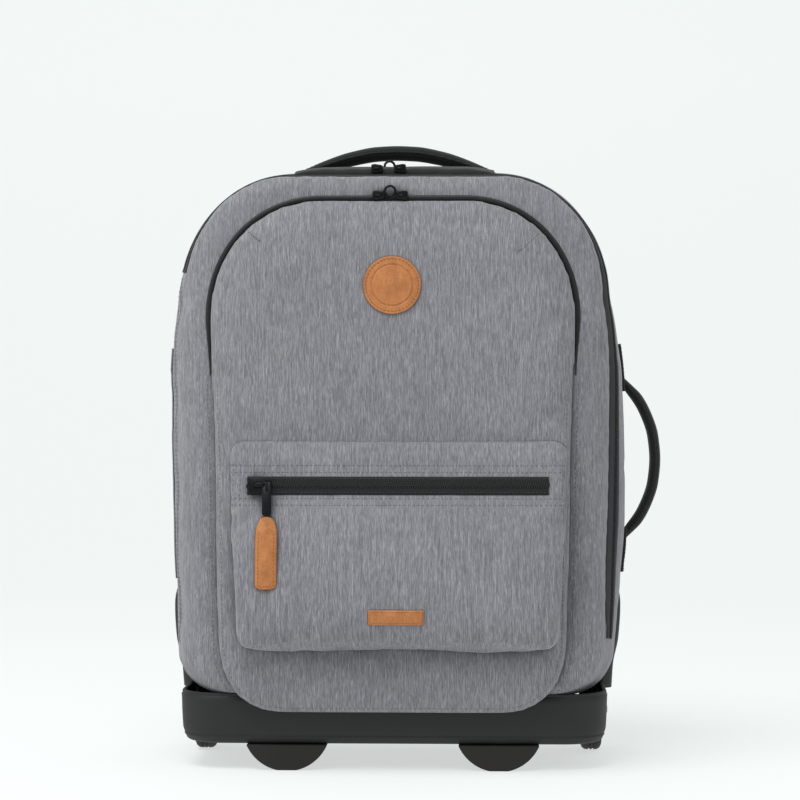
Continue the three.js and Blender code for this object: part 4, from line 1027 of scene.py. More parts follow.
def rounded_box_plan(width, height, radius, steps=6):
    """A rectangle of (u, v) points with round corners."""
    plan = []
    corners = ((1, 1, 0), (-1, 1, 90), (-1, -1, 180), (1, -1, 270))
    for right, top, start in corners:
        middle = (right * (width / 2 - radius), top * (height / 2 - radius))
        for step in range(steps + 1):
            angle = math.radians(start + 90 * step / steps)
            plan.append((middle[0] + radius * math.cos(angle), middle[1] + radius * math.sin(angle)))
    return np.array(plan)


def torus(heap, centre, radius, wire, out, up=(0, 0, 1), major=40, minor=12, squash=1.0):
    """A ring of wire whose plane has the direction out as its normal."""
    out = np.asarray(out, float) / np.linalg.norm(out)
    up = np.asarray(up, float)
    side = np.cross(up, out)
    side /= np.linalg.norm(side)
    up = np.cross(out, side)
    rows = []
    for turn in np.linspace(0, 2 * math.pi, major, endpoint=False):
        radial = side * math.cos(turn) + up * math.sin(turn) * squash
        for twist in np.linspace(0, 2 * math.pi, minor, endpoint=False):
            rows.append(centre + radial * (radius + wire * math.cos(twist)) + out * wire * math.sin(twist))
    faces = []
    for a in range(major):
        for b in range(minor):
            c, d = (a + 1) % major, (b + 1) % minor
            faces.append((a * minor + b, c * minor + b, c * minor + d, a * minor + d))
    heap.add(rows, faces)


# The soft case


def upright(plan, y):
    """Turns an outline of (x, z) into points at one depth."""
    return np.column_stack([plan[:, 0], np.full(len(plan), y), plan[:, 1]])


def body_y(depth):
    return BODY_FRONT_Y + (BODY_BACK_Y - BODY_FRONT_Y) * depth


def body_outline(y, inset, count=360):
    depth = (y - BODY_FRONT_Y) / (BODY_BACK_Y - BODY_FRONT_Y)
    return upright(outline(body_shape(depth), inset, count), y)


def zip_reach(points):
    """1 where the main zip runs round the case, 0 where its left side is the hinge."""
    left = points[:, 0] < 0
    top = points[:, 2] > MAIN_ZIP_LEFT_END_Z
    right = points[:, 2] > MAIN_ZIP_RIGHT_END_Z
    return np.where(left, top, right)


def near(points, line, reach):
    """1 on a line, falling smoothly to 0 at reach millimetres from it."""
    away, _ = distance_to_line(points, line)
    return 1 - smooth_step(0.25 * reach, reach, away)


def closed_outline(shape, inset, y, count=360):
    """An outline at one depth as a line of points that ends where it starts."""
    line = upright(outline(shape, inset, count), y)
    return np.vstack([line, line[:1]])


def build_body():
    """The grey case: a padded shell, sewn down along its zip, the front panel and the base."""
    depths = np.concatenate([
        np.linspace(0, 0.1, 9), np.linspace(0.13, 0.26, 8), np.linspace(0.31, 0.86, 12), np.linspace(0.9, 1, 8),
    ])
    rings = [body_outline(body_y(depth), 0) for depth in depths]
    heart = body_outline(BODY_FRONT_Y, 0)
    front = [shrunk(heart, (share, 1, share)) for share in (0.3, 0.6, 0.85)]
    rings = np.array([lean(ring) for ring in front + rings])
    body = loft("case", rings, GREY)
    densify(body, 5.0)
    rim = lean(closed_outline(PANEL_SHAPE, -4, BODY_FRONT_Y, 240))

    def hold(points):
        belt = np.exp(-((points[:, 1] - (MAIN_ZIP_FRONT_Y + MAIN_ZIP_BACK_Y) / 2) / 9.0) ** 2)
        sewn = belt * zip_reach(points)
        inside = (points[:, 1] < BODY_FRONT_Y + 14) & (np.abs(points[:, 0]) < PANEL_WIDTH / 2)
        inside &= points[:, 2] < PANEL_TOP
        back = smooth_step(BODY_BACK_Y - 14, BODY_BACK_Y - 4, points[:, 1])
        foot = 1 - smooth_step(66, 84, points[:, 2])
        return np.maximum.reduce([sewn, inside.astype(float), back, foot, 0.9 * near(points, rim, 12)])

    puff(body, hold, **BODY_PUFF)
    crease(body, hold, 0.55, ((120, 11, 0.7), (48, 12, 0.3)))
    subdivide(body)
    places = vertex_places(body)
    normals = vertex_normals(body)
    groove = np.zeros(len(places))
    for y in (MAIN_ZIP_FRONT_Y - 3.0, MAIN_ZIP_BACK_Y + 3.0):
        groove += 0.9 * np.exp(-((places[:, 1] - y) / 2.2) ** 2) * zip_reach(places)
    set_places(body, places - normals * groove[:, None])
    put_on(body, "body_shell")
    return body


def build_panel():
    """The grey front panel: a shallow padded lid with an arched top."""
    rows = []
    for inset in (0, 0.4, 1.2, 2.4, 4, 6, 9, 13, 18, 25, 33, 41):
        stand = float(smooth_read(PANEL_ROWS, "stand", inset)) * PANEL_DEPTH
        rows.append(upright(outline(PANEL_SHAPE, inset, 320), PANEL_RIM_Y - stand))
    last = rows[-1]
    for share, extra in ((0.8, 0.3), (0.55, 0.6), (0.3, 0.8), (0.12, 0.9)):
        rows.append(shrunk(last, (share, 1, share)) - np.array([0, extra, 0]))
    floor = [upright(outline(PANEL_SHAPE, inset, 320), PANEL_RIM_Y + 6) for inset in (60, 4)]
    rings = np.array([lean(ring) for ring in floor + rows])
    panel = loft("front_panel_padded", rings, GREY)
    densify(panel, 4.6)
    rim = lean(closed_outline(PANEL_SHAPE, 0, PANEL_RIM_Y, 240))

    def hold(points):
        back = smooth_step(PANEL_RIM_Y - 3, PANEL_RIM_Y + 1, points[:, 1] - FRONT_LEAN * points[:, 2] / BODY_TOP)
        pocket = ((np.abs(points[:, 0] - POCKET_X) < POCKET_WIDTH / 2)
                  & (points[:, 2] < POCKET_TOP + 4) & (points[:, 2] > POCKET_BOTTOM - 4))
        return np.maximum.reduce([back, pocket.astype(float), near(points, rim, 9)])

    puff(panel, hold, **PANEL_PUFF)
    crease(panel, hold, 0.6, ((130, 21, 0.8), (50, 22, 0.35)))
    subdivide(panel)
    put_on(panel, "front_panel")
    return panel


def pocket_stand(z):
    """How far the pocket stands out at a height, as a share of its bulge."""
    rise = (z - POCKET_BOTTOM) / (POCKET_TOP - POCKET_BOTTOM)
    return smooth_read(POCKET_PROFILE, "stand", rise)


def build_pocket():
    """The lower front pocket: flat at its top seam, bulging towards its bottom."""
    rim_y = PANEL_FACE_Y + POCKET_SINK
    rows = []
    for inset, share in ((0, 0), (0, 0.3), (0.2, 0.62), (0.9, 0.8), (2.2, 0.89), (4, 0.94), (7, 0.97), (12, 0.99),
                         (18, 1.0), (26, 1.01), (36, 1.02), (50, 1.03), (68, 1.04)):
        plan = outline(POCKET_SHAPE, inset, 300)
        ring = upright(plan, rim_y)
        ring[:, 1] -= POCKET_BULGE * share * pocket_stand(plan[:, 1])
        rows.append(ring)
    floor = [upright(outline(POCKET_SHAPE, inset, 300), rim_y + 5) for inset in (40, 3)]
    rings = np.array([lean(ring) for ring in floor + rows])
    pocket = loft("front_pocket_padded", rings, GREY)
    densify(pocket, 3.6)
    zip_line = np.array([[POCKET_X + side * POCKET_ZIP_WIDTH / 2, 0, POCKET_ZIP_Z] for side in (-1, 1)])

    def hold(points):
        flat = points * np.array([1, 0, 1])
        back = smooth_step(rim_y - 6, rim_y + 1, points[:, 1] - FRONT_LEAN * points[:, 2] / BODY_TOP)
        top = smooth_step(POCKET_TOP - 10, POCKET_TOP - 2, points[:, 2])
        return np.maximum.reduce([back, top, 0.95 * near(flat, zip_line, 16)])

    puff(pocket, hold, **POCKET_PUFF)
    low = 1 - smooth_step(POCKET_BOTTOM + 20, POCKET_ZIP_Z - 20, vertex_places(pocket)[:, 2])
    crease(pocket, hold, 0.7, ((90, 31, 0.9), (36, 32, 0.45)), 0.5 + 0.5 * low)
    subdivide(pocket)
    put_on(pocket, "front_pocket")
    return pocket


# Zips


def zip_teeth(heap, line, surface, direction=None, pitch=1.9, width=4.2, lift=0.55):
    """Coil teeth: short rounded bars that cross a zip's middle, two rows that meet."""
    places, tangents = resample(line, pitch)
    ground, normals = surface.ground(places, direction)
    plan = round_profile(pitch * 0.62, 1.0, 6)
    for place, side, up in zip(ground, *frames_along(tangents, normals)):
        forward = np.cross(side, up)
        start = place + side * (width * 0.08) + up * lift
        for hand in (-1, 1):
            middle = start + forward * (pitch * 0.25 * hand)
            rings = []
            for reach, swell in ((-0.1, 0.7), (0.12, 1.0), (0.38, 1.0), (0.5, 0.6)):
                centre = middle + side * (hand * width * reach) + up * 0.12 * (1 - reach)
                rings.append(centre + np.outer(plan[:, 0] * swell, forward) + np.outer(plan[:, 1] * swell, up))
            heap.add(np.vstack(rings), tube_faces(len(rings), len(plan)))


def strip_on(heap, surface, line, width, thick, direction=None, taper=None, step=3.0, edge=0.35, across=5):
    """Lays a tape of cloth that follows a surface across its width as well as along its length."""
    places, tangents = resample(line, step)
    ground, normals = surface.ground(places, direction)
    sides, _ = frames_along(tangents, normals)
    share = np.ones(len(places)) if taper is None else taper(np.linspace(0, 1, len(places)))
    top, bottom = [], []
    for reach in np.linspace(-0.5, 0.5, across):
        found, normal = surface.ground(ground + sides * (reach * width * share)[:, None], direction)
        top.append(found + normal * (thick - edge if abs(reach) == 0.5 else thick))
        bottom.append(found - normal * TAPE_SINK)
    points = np.stack(top + bottom[::-1], axis=1)
    heap.add(points.reshape(-1, 3), tube_faces(len(places), 2 * across))


def belt_line(y, left_end, right_end):
    """A line round the case at one depth, from the left end over the top to the right end."""
    ring = body_outline(y, 0, 720)
    right = ring[1:360]
    left = ring[360:]
    return lean(np.vstack([right[right[:, 2] > right_end], left[left[:, 2] > left_end]]))[::-1]


def build_main_zip(case_skin):
    """The main zip: tape, two rows of teeth and a cloth flap in front of each of its ends."""
    middle = (MAIN_ZIP_FRONT_Y + MAIN_ZIP_BACK_Y) / 2
    line = belt_line(middle, MAIN_ZIP_LEFT_END_Z, MAIN_ZIP_RIGHT_END_Z)
    tape = Heap()
    strip_on(tape, case_skin, line, MAIN_ZIP_BACK_Y - MAIN_ZIP_FRONT_Y + 2.4, 0.7, across=7)
    for hand, low in ((1, MAIN_ZIP_RIGHT_END_Z), (-1, MAIN_ZIP_LEFT_END_Z)):
        side = line[(line[:, 0] * hand > 0) & (line[:, 2] < FLAP_TOP_Z)]
        side = side[np.argsort(-side[:, 2])]
        side[:, 1] = MAIN_ZIP_FRONT_Y + 3.0 - FLAP_REACH / 2
        opening = FLAP_OPENING / (FLAP_TOP_Z - low)

        def taper(share):
            closing = 1 - smooth_step(0.9, 1.0, share) * (hand > 0)
            return 0.06 + 0.94 * smooth_step(0, opening, share) * closing

        strip_on(tape, case_skin, side, FLAP_REACH, 0.8, taper=taper, across=9)
    put_on(tape.piece("main_zip_tape", ZIP_BLACK), "main_zip")
    teeth = Heap()
    zip_teeth(teeth, line, case_skin, lift=0.9)
    put_on(teeth.piece("main_zip_teeth", ZIP_BLACK), None)


def put_on(piece, node, body="bag"):
    """Puts a piece on its body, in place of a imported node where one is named."""
    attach(piece, body)
    if node:
        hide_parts(node)


def front_zip_line():
    """The front zip's line: over the arch of the panel, from one low end to the other."""
    plan = outline(PANEL_SHAPE, -1.4, 720)
    kept = [side[side[:, 1] > FRONT_ZIP_END_Z] for side in (plan[1:360], plan[360:])]
    return lean(upright(np.vstack(kept), PANEL_RIM_Y - 1.0))


def build_front_zip(skin):
    """The thin black zip round the arch of the front panel, narrowing to nothing at both ends."""
    line = front_zip_line()

    def taper(along):
        return smooth_step(0, 0.10, along) * smooth_step(0, 0.10, 1 - along) * 0.95 + 0.05

    tape = Heap()
    strip_on(tape, skin, line, 4.4, 1.2, direction=AHEAD, taper=taper)
    put_on(tape.piece("front_zip_tape", ZIP_BLACK), "front_zip")
    inner = line[int(len(line) * 0.05):int(len(line) * 0.95)]
    teeth = Heap()
    zip_teeth(teeth, inner, skin, direction=AHEAD, width=2.6, pitch=1.7, lift=1.25)
    put_on(teeth.piece("front_zip_teeth", ZIP_BLACK), None)


def build_pocket_zip(skin):
    """The pocket's zip: a wide tape with a raised coil along its middle."""
    half = POCKET_ZIP_WIDTH / 2
    line = np.array([[POCKET_X - half, 0, POCKET_ZIP_Z], [POCKET_X + half, 0, POCKET_ZIP_Z]])
    tape = Heap()
    strip_on(tape, skin, line, POCKET_ZIP_HEIGHT, 0.9, direction=AHEAD, across=9)
    put_on(tape.piece("pocket_zip_tape", BLACK_CLOTH), "pocket_zip")
    teeth = Heap()
    zip_teeth(teeth, line, skin, direction=AHEAD, pitch=1.8, width=4.6, lift=1.1)
    put_on(teeth.piece("pocket_zip_teeth", ZIP_BLACK), None)
    rows = [line + np.array([0, 0, offset]) for offset in (-5.4, 5.4)]
    sew("pocket_zip_stitches", rows, skin, BLACK_THREAD, "zip_tape", AHEAD, long=2.2, gap=0.9, thick=0.4, sink=-0.85)


# Leather


def leather_disc(heap, centre, surface):
    """A round patch that follows the panel, with a pressed ring and a softened edge."""
    shares = np.concatenate([np.linspace(0.02, 0.64, 8), np.linspace(0.66, 0.78, 13), np.linspace(0.82, 0.95, 4)])
    radii = np.concatenate([shares * PATCH_RADIUS, PATCH_RADIUS - np.array([0.6, 0.25, 0.05, 0])])
    heights = PATCH_THICK - 0.7 * np.exp(-((radii - 0.715 * PATCH_RADIUS) / 0.5) ** 2)
    heights -= 0.22 * np.exp(-((radii - (PATCH_RADIUS - 2.0)) / 0.5) ** 2)
    heights[-3:] = PATCH_THICK - np.array([0.12, 0.4, 0.8])
    around = 144
    turn = np.linspace(0, 2 * math.pi, around, endpoint=False)
    circle = np.column_stack([np.cos(turn), np.zeros(around), np.sin(turn)])
    flat = np.concatenate([centre + radius * circle for radius in radii])
    ground, _ = surface.along(flat, AHEAD)
    points = np.column_stack([flat[:, 0], ground[:, 1] - np.repeat(heights, around), flat[:, 2]])
    foot = points[-around:] + np.array([0, PATCH_THICK + 0.4, 0])
    points = np.vstack([points, foot, points[:around].mean(axis=0)])
    last = len(points) - 1
    faces = ring_faces(len(radii) + 1, around)
    faces += [((step + 1) % around, step, last) for step in range(around)]
    heap.add(points, faces)


def build_round_patch(skin):
    """The round leather patch, with its ring of stitches."""
    centre = np.array([0.3, 0, PATCH_Z + 1.0])
    heap = Heap()
    leather_disc(heap, centre, skin)
    patch = face_out(heap.piece("round_patch_leather", LEATHER))
    put_on(patch, "round_patch")
    turn = np.linspace(0, 2 * math.pi, 121)
    edge = centre + (PATCH_RADIUS - 2.0) * np.column_stack([np.cos(turn), 0 * turn, np.sin(turn)])
    sew("round_patch_stitches", [edge], Surface(patch), TAN_THREAD, "tan_leather", AHEAD,
        long=2.0, gap=1.0, thick=0.5, sink=-0.02)


def build_label(skin):
    """The small rectangular label: bare leather with a stitched border."""
    centre = np.array([LABEL_X, 0, LABEL_Z])
    columns = np.linspace(-0.5, 0.5, 15) * LABEL_WIDTH
    rows = np.linspace(-0.5, 0.5, 7) * LABEL_HEIGHT
    grid = centre + np.array([(x, 0, z) for z in rows for x in columns])
    found, normal = skin.along(grid, AHEAD)
    from_middle = np.abs(grid - centre)
    edge = (from_middle[:, 0] > LABEL_WIDTH * 0.499) | (from_middle[:, 2] > LABEL_HEIGHT * 0.499)
    top = found + normal * np.where(edge, 0.9, 1.3)[:, None]
    label = thick_sheet("label_leather", top, found - normal * 0.8, len(rows), LEATHER)
    put_on(label, "label_patch")
    loop = rounded_box_plan(LABEL_WIDTH - 2.6, LABEL_HEIGHT - 2.6, 0.6, 3)
    loop = np.vstack([loop, loop[:1]])
    line = centre + upright(loop, 0)
    sew("label_stitches", [line], Surface(label), TAN_THREAD, "tan_leather", AHEAD,
        long=1.5, gap=0.8, thick=0.4, sink=-0.02)


# Sliders, rings and the pocket's pull


def slider_body(heap, place, across, up, out, width, length, height):
    """A zip slider: a wedge with a waist, two lips and a raised bridge."""
    outer = ((-0.5, 0.36), (-0.44, 0.46), (-0.2, 0.5), (0.08, 0.44), (0.3, 0.4), (0.44, 0.34), (0.5, 0.24))
    plan = [(along * length, half * width) for along, half in outer]
    plan = np.array(plan + [(along, -half) for along, half in plan[::-1]])
    solid_prism(heap, plan, -0.4, height * 0.42, 0.35, place, across, up, out)
    solid_prism(heap, plan * np.array([0.97, 0.94]), height * 0.56, height * 0.86, 0.3, place, across, up, out)
    solid_prism(heap, plan * np.array([0.5, 0.34]), height * 0.3, height * 0.7, 0.1, place, across, up, out)
    angle = math.pi * np.linspace(0, 1, 9)
    arch = place + np.outer(-np.cos(angle) * length * 0.26, across)
    arch += np.outer(height * 0.8 + np.sin(angle) * height * 0.45, out)
    sweep(heap, arch, np.tile(up, (len(arch), 1)), round_profile(0.9, width * 0.24))


def slider_pair(nodes, middle_x, z, ring_up, skin, lift):
    """Two sliders nose to nose on a zip, joined by a ring through their bridges."""
    out = np.array([0, -1.0, 0])
    for hand, node in ((-1, nodes[0]), (1, nodes[1])):
        ground, _ = skin.along([(middle_x + hand * SLIDER_PITCH / 2, 0, z)], AHEAD)
        place = ground[0] + out * 1.4 + np.array([0, 0, lift])
        across = np.array([-1.0, 0, 0]) * hand
        heap = Heap()
        slider_body(heap, place, across, np.cross(out, across), out, SLIDER_WIDTH, SLIDER_LENGTH, 3.6)
        put_on(face_out(heap.piece(node + "_metal", BLACK_METAL)), node)
    heap = Heap()
    ground, normal = skin.along([(middle_x, 0, z + ring_up)], AHEAD)
    centre = ground[0] + out * 4.0 + np.array([0, 0, lift])
    torus(heap, centre, RING_RADIUS, 1.0, out)
    for hand in (-1, 1):
        pull = np.array([centre + np.array([hand * (RING_RADIUS + reach), 0, -ring_up * share])
                         for reach, share in ((0.2, 0), (1.6, 0.3), (3.4, 0.8), (5.0, 1.0))])
        sweep(heap, pull, np.tile(normal[0], (len(pull), 1)), round_profile(2.6, 1.1))
    put_on(face_out(heap.piece(nodes[2] + "_metal", BLACK_METAL)), nodes[2])


def build_pocket_pull(skin):
    """The pocket's big slider, its metal puller and the leather tag that hangs from it."""
    ground, normal = skin.along([(POCKET_SLIDER_X, 0, POCKET_ZIP_Z - 0.3)], AHEAD)
    out = normal[0]
    across = np.array([1.0, 0, 0])
    up = np.cross(out, across)
    up = up if up[2] > 0 else -up
    heap = Heap()
    slider_body(heap, ground[0] + out * 0.7, across, up, out, 14.6, 18.5, 5.0)
    put_on(face_out(heap.piece("pocket_slider_metal", BLACK_METAL)), "pocket_slider")

    puller = Heap()
    top = ground[0] + out * 5.2 + np.array([5.4, 0, 1.0])
    foot_ground, foot_normal = skin.along([(PULL_X, 0, TAG_TOP_Z + 0.6)], AHEAD)
    foot = foot_ground[0] + foot_normal[0] * 4.6
    down = foot - top
    length = np.linalg.norm(down)
    down /= length
    side = np.cross(down, out)
    side /= np.linalg.norm(side)
    side = side if side[0] > 0 else -side
    face = np.cross(side, -down)
    face = face if face[1] < 0 else -face
    outer = rounded_box_plan(7.4, length + 3.0, 2.2, 6)
    solid_prism(puller, outer, -0.8, 0.8, 0.3, (top + foot) / 2, side, -down, face)
    torus(puller, top + down * 2.0, 3.4, 0.95, side, up=face, squash=0.9)
    put_on(face_out(puller.piece("pocket_puller_metal", BLACK_METAL)), "pocket_puller")

    half = TAG_WIDTH / 2
    rings = []
    for z in np.linspace(TAG_TOP_Z, TAG_END_Z, 40):
        share = (TAG_TOP_Z - z) / (TAG_TOP_Z - TAG_END_Z)
        neck = 1 - (1 - min(share / 0.3, 1)) ** 2.2
        shoulder = 4.4 + (half - 4.4) * neck
        for gone, round_off in ((share * TAG_LENGTH, 3.0), ((1 - share) * TAG_LENGTH, TAG_CORNER)):
            if gone < round_off:
                shoulder += math.sqrt(round_off ** 2 - (round_off - gone) ** 2) - round_off
        base, _ = skin.along([(PULL_X, 0, z)], AHEAD)
        stand = 3.4 - 1.4 * share + 0.5 * math.sin(share * 5.0)
        thick = 2.4 - 0.4 * share + 0.5 * math.exp(-((share - 0.2) / 0.035) ** 2)
        fold = 0.45 * math.exp(-((share - 0.23) / 0.02) ** 2)
        front_row, back_row = [], []
        for column in np.linspace(-1, 1, 13):
            x = PULL_X + column * shoulder
            curl = 0.5 * column * column
            edge = 0.55 * smooth_step(0.88, 1.0, abs(column))
            groove = 0.22 * math.exp(-((abs(column) * shoulder - (shoulder - 2.3)) / 0.5) ** 2)
            y = base[0][1] - stand + curl
            front_row.append((x, y - thick / 2 + float(edge) + groove + fold, z))
            back_row.append((x, y + thick / 2 - float(edge), z))
        rings.append(front_row + back_row[::-1])
    piece = loft("pull_tag_leather", rings, LEATHER)
    put_on(piece, "pull_tag")
    heights = np.linspace(191.0, 151.0, 16)
    edge = [(PULL_X + half - 2.4, 0, z) for z in heights]
    edge += [(PULL_X + x, 0, 150.9) for x in np.linspace(half - 4, -half + 4, 5)]
    edge += [(PULL_X - half + 2.4, 0, z) for z in heights[::-1]]
    sew("pull_tag_stitches", [edge], Surface(piece), TAN_THREAD, "tan_leather", AHEAD,
        long=1.9, gap=0.9, thick=0.42, sink=-0.04)


# Seams


def lower_part(ring):
    """The part of a closed ring of points below the front zip's ends, from left to right."""
    half = len(ring) // 2
    right = [point for point in ring[:half] if point[2] < SEAM_LIMIT_Z]
    left = [point for point in ring[half:] if point[2] < SEAM_LIMIT_Z]
    return np.array(left + right)


def welt(heap, line, surface, direction, width, height):
    """A thin raised fold along a sewn line."""
    places, _ = resample(line, 2.5)
    ground, normals = surface.ground(places, direction)
    sweep(heap, ground, normals, round_profile(width, height * 2))


def build_panel_seams(case_skin, panel_skin):
    """Stitches on both sides of the panel's seam below the zip, and its two darts."""
    seam = Heap()
    for inset, skin in ((5.0, panel_skin), (-4.0, case_skin)):
        line = lower_part(closed_outline(PANEL_SHAPE, inset, PANEL_RIM_Y, 720))
        stitches(seam, line, skin, AHEAD, **CLOTH_SEAM, sink=0.16)
    folds = Heap()
    for start, end in DARTS.values():
        line = np.array([[start[0], 0, start[1]], [end[0], 0, end[1]]])
        stitches(seam, line, panel_skin, AHEAD, long=2.0, gap=0.6, thick=0.6, sink=0.1)
        welt(folds, line + np.array([0.9, 0, 0.9]), panel_skin, AHEAD, 1.6, 0.45)
    put_on(seam.piece("panel_stitches", GREY_THREAD), None)
    put_on(folds.piece("panel_darts", GREY), None)


def build_side_seam(case_skin):
    """The seam that carries on down the left side from the end of the main zip."""
    ring = body_outline((MAIN_ZIP_FRONT_Y + MAIN_ZIP_BACK_Y) / 2, 0, 720)
    left = ring[360:]
    line = lean(left[(left[:, 2] < MAIN_ZIP_LEFT_END_Z - 3) & (left[:, 2] > 100)])
    folds = Heap()
    welt(folds, line, case_skin, None, 2.4, 0.7)
    put_on(folds.piece("side_seam_fold", GREY), None)
    rows = [line + np.array([0, offset, 0]) for offset in (-4.0, 4.0)]
    sew("side_seam_stitches", rows, case_skin, GREY_THREAD, "grey_fabric", **CLOTH_SEAM, sink=0.12)


def build_pocket_seams(pocket_skin):
    """Rows of stitches above and below the pocket's zip, and across both of its ends."""
    low_x, high_x = POCKET_SEAM_ENDS
    rows = [np.array([[low_x, 0, z], [high_x, 0, z]]) for z in POCKET_SEAM_ROWS]
    for x in (low_x + 1.0, low_x + 6.5, high_x - 1.5):
        rows.append(np.array([[x, 0, POCKET_SEAM_ROWS[-1]], [x, 0, POCKET_SEAM_ROWS[0]]]))
    sew("pocket_stitches", rows, pocket_skin, GREY_THREAD, "grey_fabric", AHEAD, **CLOTH_SEAM, sink=0.14)


# Handles, tabs and the side pocket


def table_line(table, columns, count):
    """Columns of a route's table, read at even steps from its first row to its last."""
    rows = len(table[columns[0]])
    key = {"at": np.arange(rows), **{column: table[column] for column in columns}}
    at = np.linspace(0, rows - 1, count)
    return [smooth_read(key, column, at) for column in columns]


def padded_sweep(name, places, normals, widths, thicks, material, puffy=1.0):
    """A padded band: its middle swells, its edges pinch to a bound seam."""
    tangents = np.gradient(np.asarray(places, float), axis=0)
    tangents /= np.linalg.norm(tangents, axis=1, keepdims=True)
    sides, ups = frames_along(tangents, normals)
    turn = np.linspace(0, 2 * math.pi, 28, endpoint=False)
    side_share = np.sign(np.cos(turn)) * np.abs(np.cos(turn)) ** 0.75
    up_share = np.sign(np.sin(turn)) * np.abs(np.sin(turn)) ** 0.85
    rings = []
    for place, side, up, wide, thick in zip(places, sides, ups, widths, thicks):
        rings.append(place + np.outer(side_share * wide / 2, side) + np.outer(up_share * thick / 2 * puffy, up))
    return loft(name, rings, material), sides


def build_top_handle():
    """The padded grab handle on top, with piped edges and two rows of stitches."""
    across, up, thick, wide = table_line(TOP_HANDLE_ROUTE, ["across", "up", "thick", "wide"], 90)
    x = TOP_HANDLE_MIDDLE_X + across * TOP_HANDLE_SPAN
    z = BODY_TOP + up * TOP_HANDLE_RISE
    y = np.full_like(x, TOP_HANDLE_Y)
    places = np.column_stack([x, y, z])
    tangent = np.gradient(places, axis=0)
    normals = np.column_stack([-tangent[:, 2], np.zeros(len(x)), tangent[:, 0]])
    normals /= np.linalg.norm(normals, axis=1, keepdims=True)
    handle, sides = padded_sweep("top_handle_padded", places, normals, wide * TOP_HANDLE_WIDTH,
                                      thick * TOP_HANDLE_THICK, BLACK_CLOTH)
    put_on(handle, "top_handle")
    piping = Heap()
    for hand in (-1, 1):
        edge = places[6:-6] + sides[6:-6] * (hand * wide[6:-6] * TOP_HANDLE_WIDTH / 2)[:, None]
        sweep(piping, edge, normals[6:-6], round_profile(1.7, 1.7, 10))
    put_on(piping.piece("top_handle_piping", BLACK_WEBBING), None)
    inner = slice(12, -12)
    rows = [places[inner] + sides[inner] * (hand * wide[inner] * TOP_HANDLE_WIDTH * 0.36)[:, None]
            for hand in (-1, 1)]
    sew("top_handle_stitches", rows, Surface(handle), BLACK_THREAD, "black_fabric", (0, 0, -1),
        long=2.6, gap=1.1, thick=0.45)


def build_handle_base(case_skin):
    """The black padded layer over the top of the case, between the feet of the top handle."""
    half = TOP_HANDLE_SPAN / 2
    across = np.concatenate([[-1, -0.995], np.linspace(-0.985, 0.985, 61), [0.995, 1]]) * half
    along = np.concatenate([[0, 0.006], np.linspace(0.02, 0.98, 33), [0.994, 1]])
    along = HANDLE_BASE_FRONT_Y + along * (HANDLE_BASE_BACK_Y - HANDLE_BASE_FRONT_Y)
    grid = np.array([(x, y, BODY_TOP) for y in along for x in across])
    found, normals = case_skin.along(grid, (0, 0, -1))
    edge = np.minimum((half - np.abs(grid[:, 0])) / 5, np.minimum(grid[:, 1] - along[0], along[-1] - grid[:, 1]))
    stand = 1.6 + (HANDLE_BASE_THICK - 1.6) * np.sqrt(smooth_step(-0.5, 5.0, edge))
    top = found + normals * stand[:, None]
    bottom = found - normals * 0.8
    base = thick_sheet("handle_base_padded", top, bottom, len(along), BLACK_CLOTH)
    put_on(base, "top_handle")


def build_side_handle():
    """The carry handle on the right side, with piped edges."""
    up, out, thick = table_line(SIDE_HANDLE_ROUTE, ["up", "out", "thick"], 90)
    x = SIDE_HANDLE_X + out * SIDE_HANDLE_REACH
    z = SIDE_HANDLE_Z + up * SIDE_HANDLE_RISE
    places = np.column_stack([x, np.full_like(x, SIDE_HANDLE_Y), z])
    tangent = np.gradient(places, axis=0)
    normals = np.column_stack([-tangent[:, 2], np.zeros(len(x)), tangent[:, 0]])
    normals /= np.linalg.norm(normals, axis=1, keepdims=True)
    normals *= np.where(normals[:, :1] < 0, -1, 1)
    widths = np.full_like(x, SIDE_HANDLE_WIDTH) * (0.86 + 0.14 * (1 - out))
    handle, sides = padded_sweep("side_handle_padded", places, normals, widths, thick * SIDE_HANDLE_THICK,
                                      BLACK_WEBBING)
    put_on(handle, "side_handle")
    piping = Heap()
    for hand in (-1, 1):
        edge = places[4:-4] + sides[4:-4] * (hand * widths[4:-4] / 2)[:, None]
        sweep(piping, edge, normals[4:-4], round_profile(1.5, 1.5, 10))
    put_on(piping.piece("side_handle_piping", BLACK_WEBBING), None)


def build_side_tabs(case_skin):
    """The cloth tabs that hold the ends of the side handle, with box stitching."""
    aim = (-1, 0, 0)
    for node, (low, high) in SIDE_TABS.items():
        heap = Heap()
        line = np.array([[0, SIDE_HANDLE_Y, low], [0, SIDE_HANDLE_Y, high]])
        strip_on(heap, case_skin, line, SIDE_TAB_WIDTH, 2.6, direction=aim, across=9, step=2.5, edge=0.8)
        tab = heap.piece(node + "_cloth", BLACK_CLOTH)
        put_on(tab, node)
        plan = rounded_box_plan(SIDE_TAB_WIDTH - 5.0, high - low - 5.0, 1.0, 2)
        plan = np.vstack([plan, plan[:1]])
        loop = np.column_stack([np.zeros(len(plan)), SIDE_HANDLE_Y + plan[:, 0], (low + high) / 2 + plan[:, 1]])
        sew(node + "_stitches", [loop], Surface(tab), BLACK_THREAD, "black_fabric", aim, long=2.4, gap=1.0, thick=0.5)


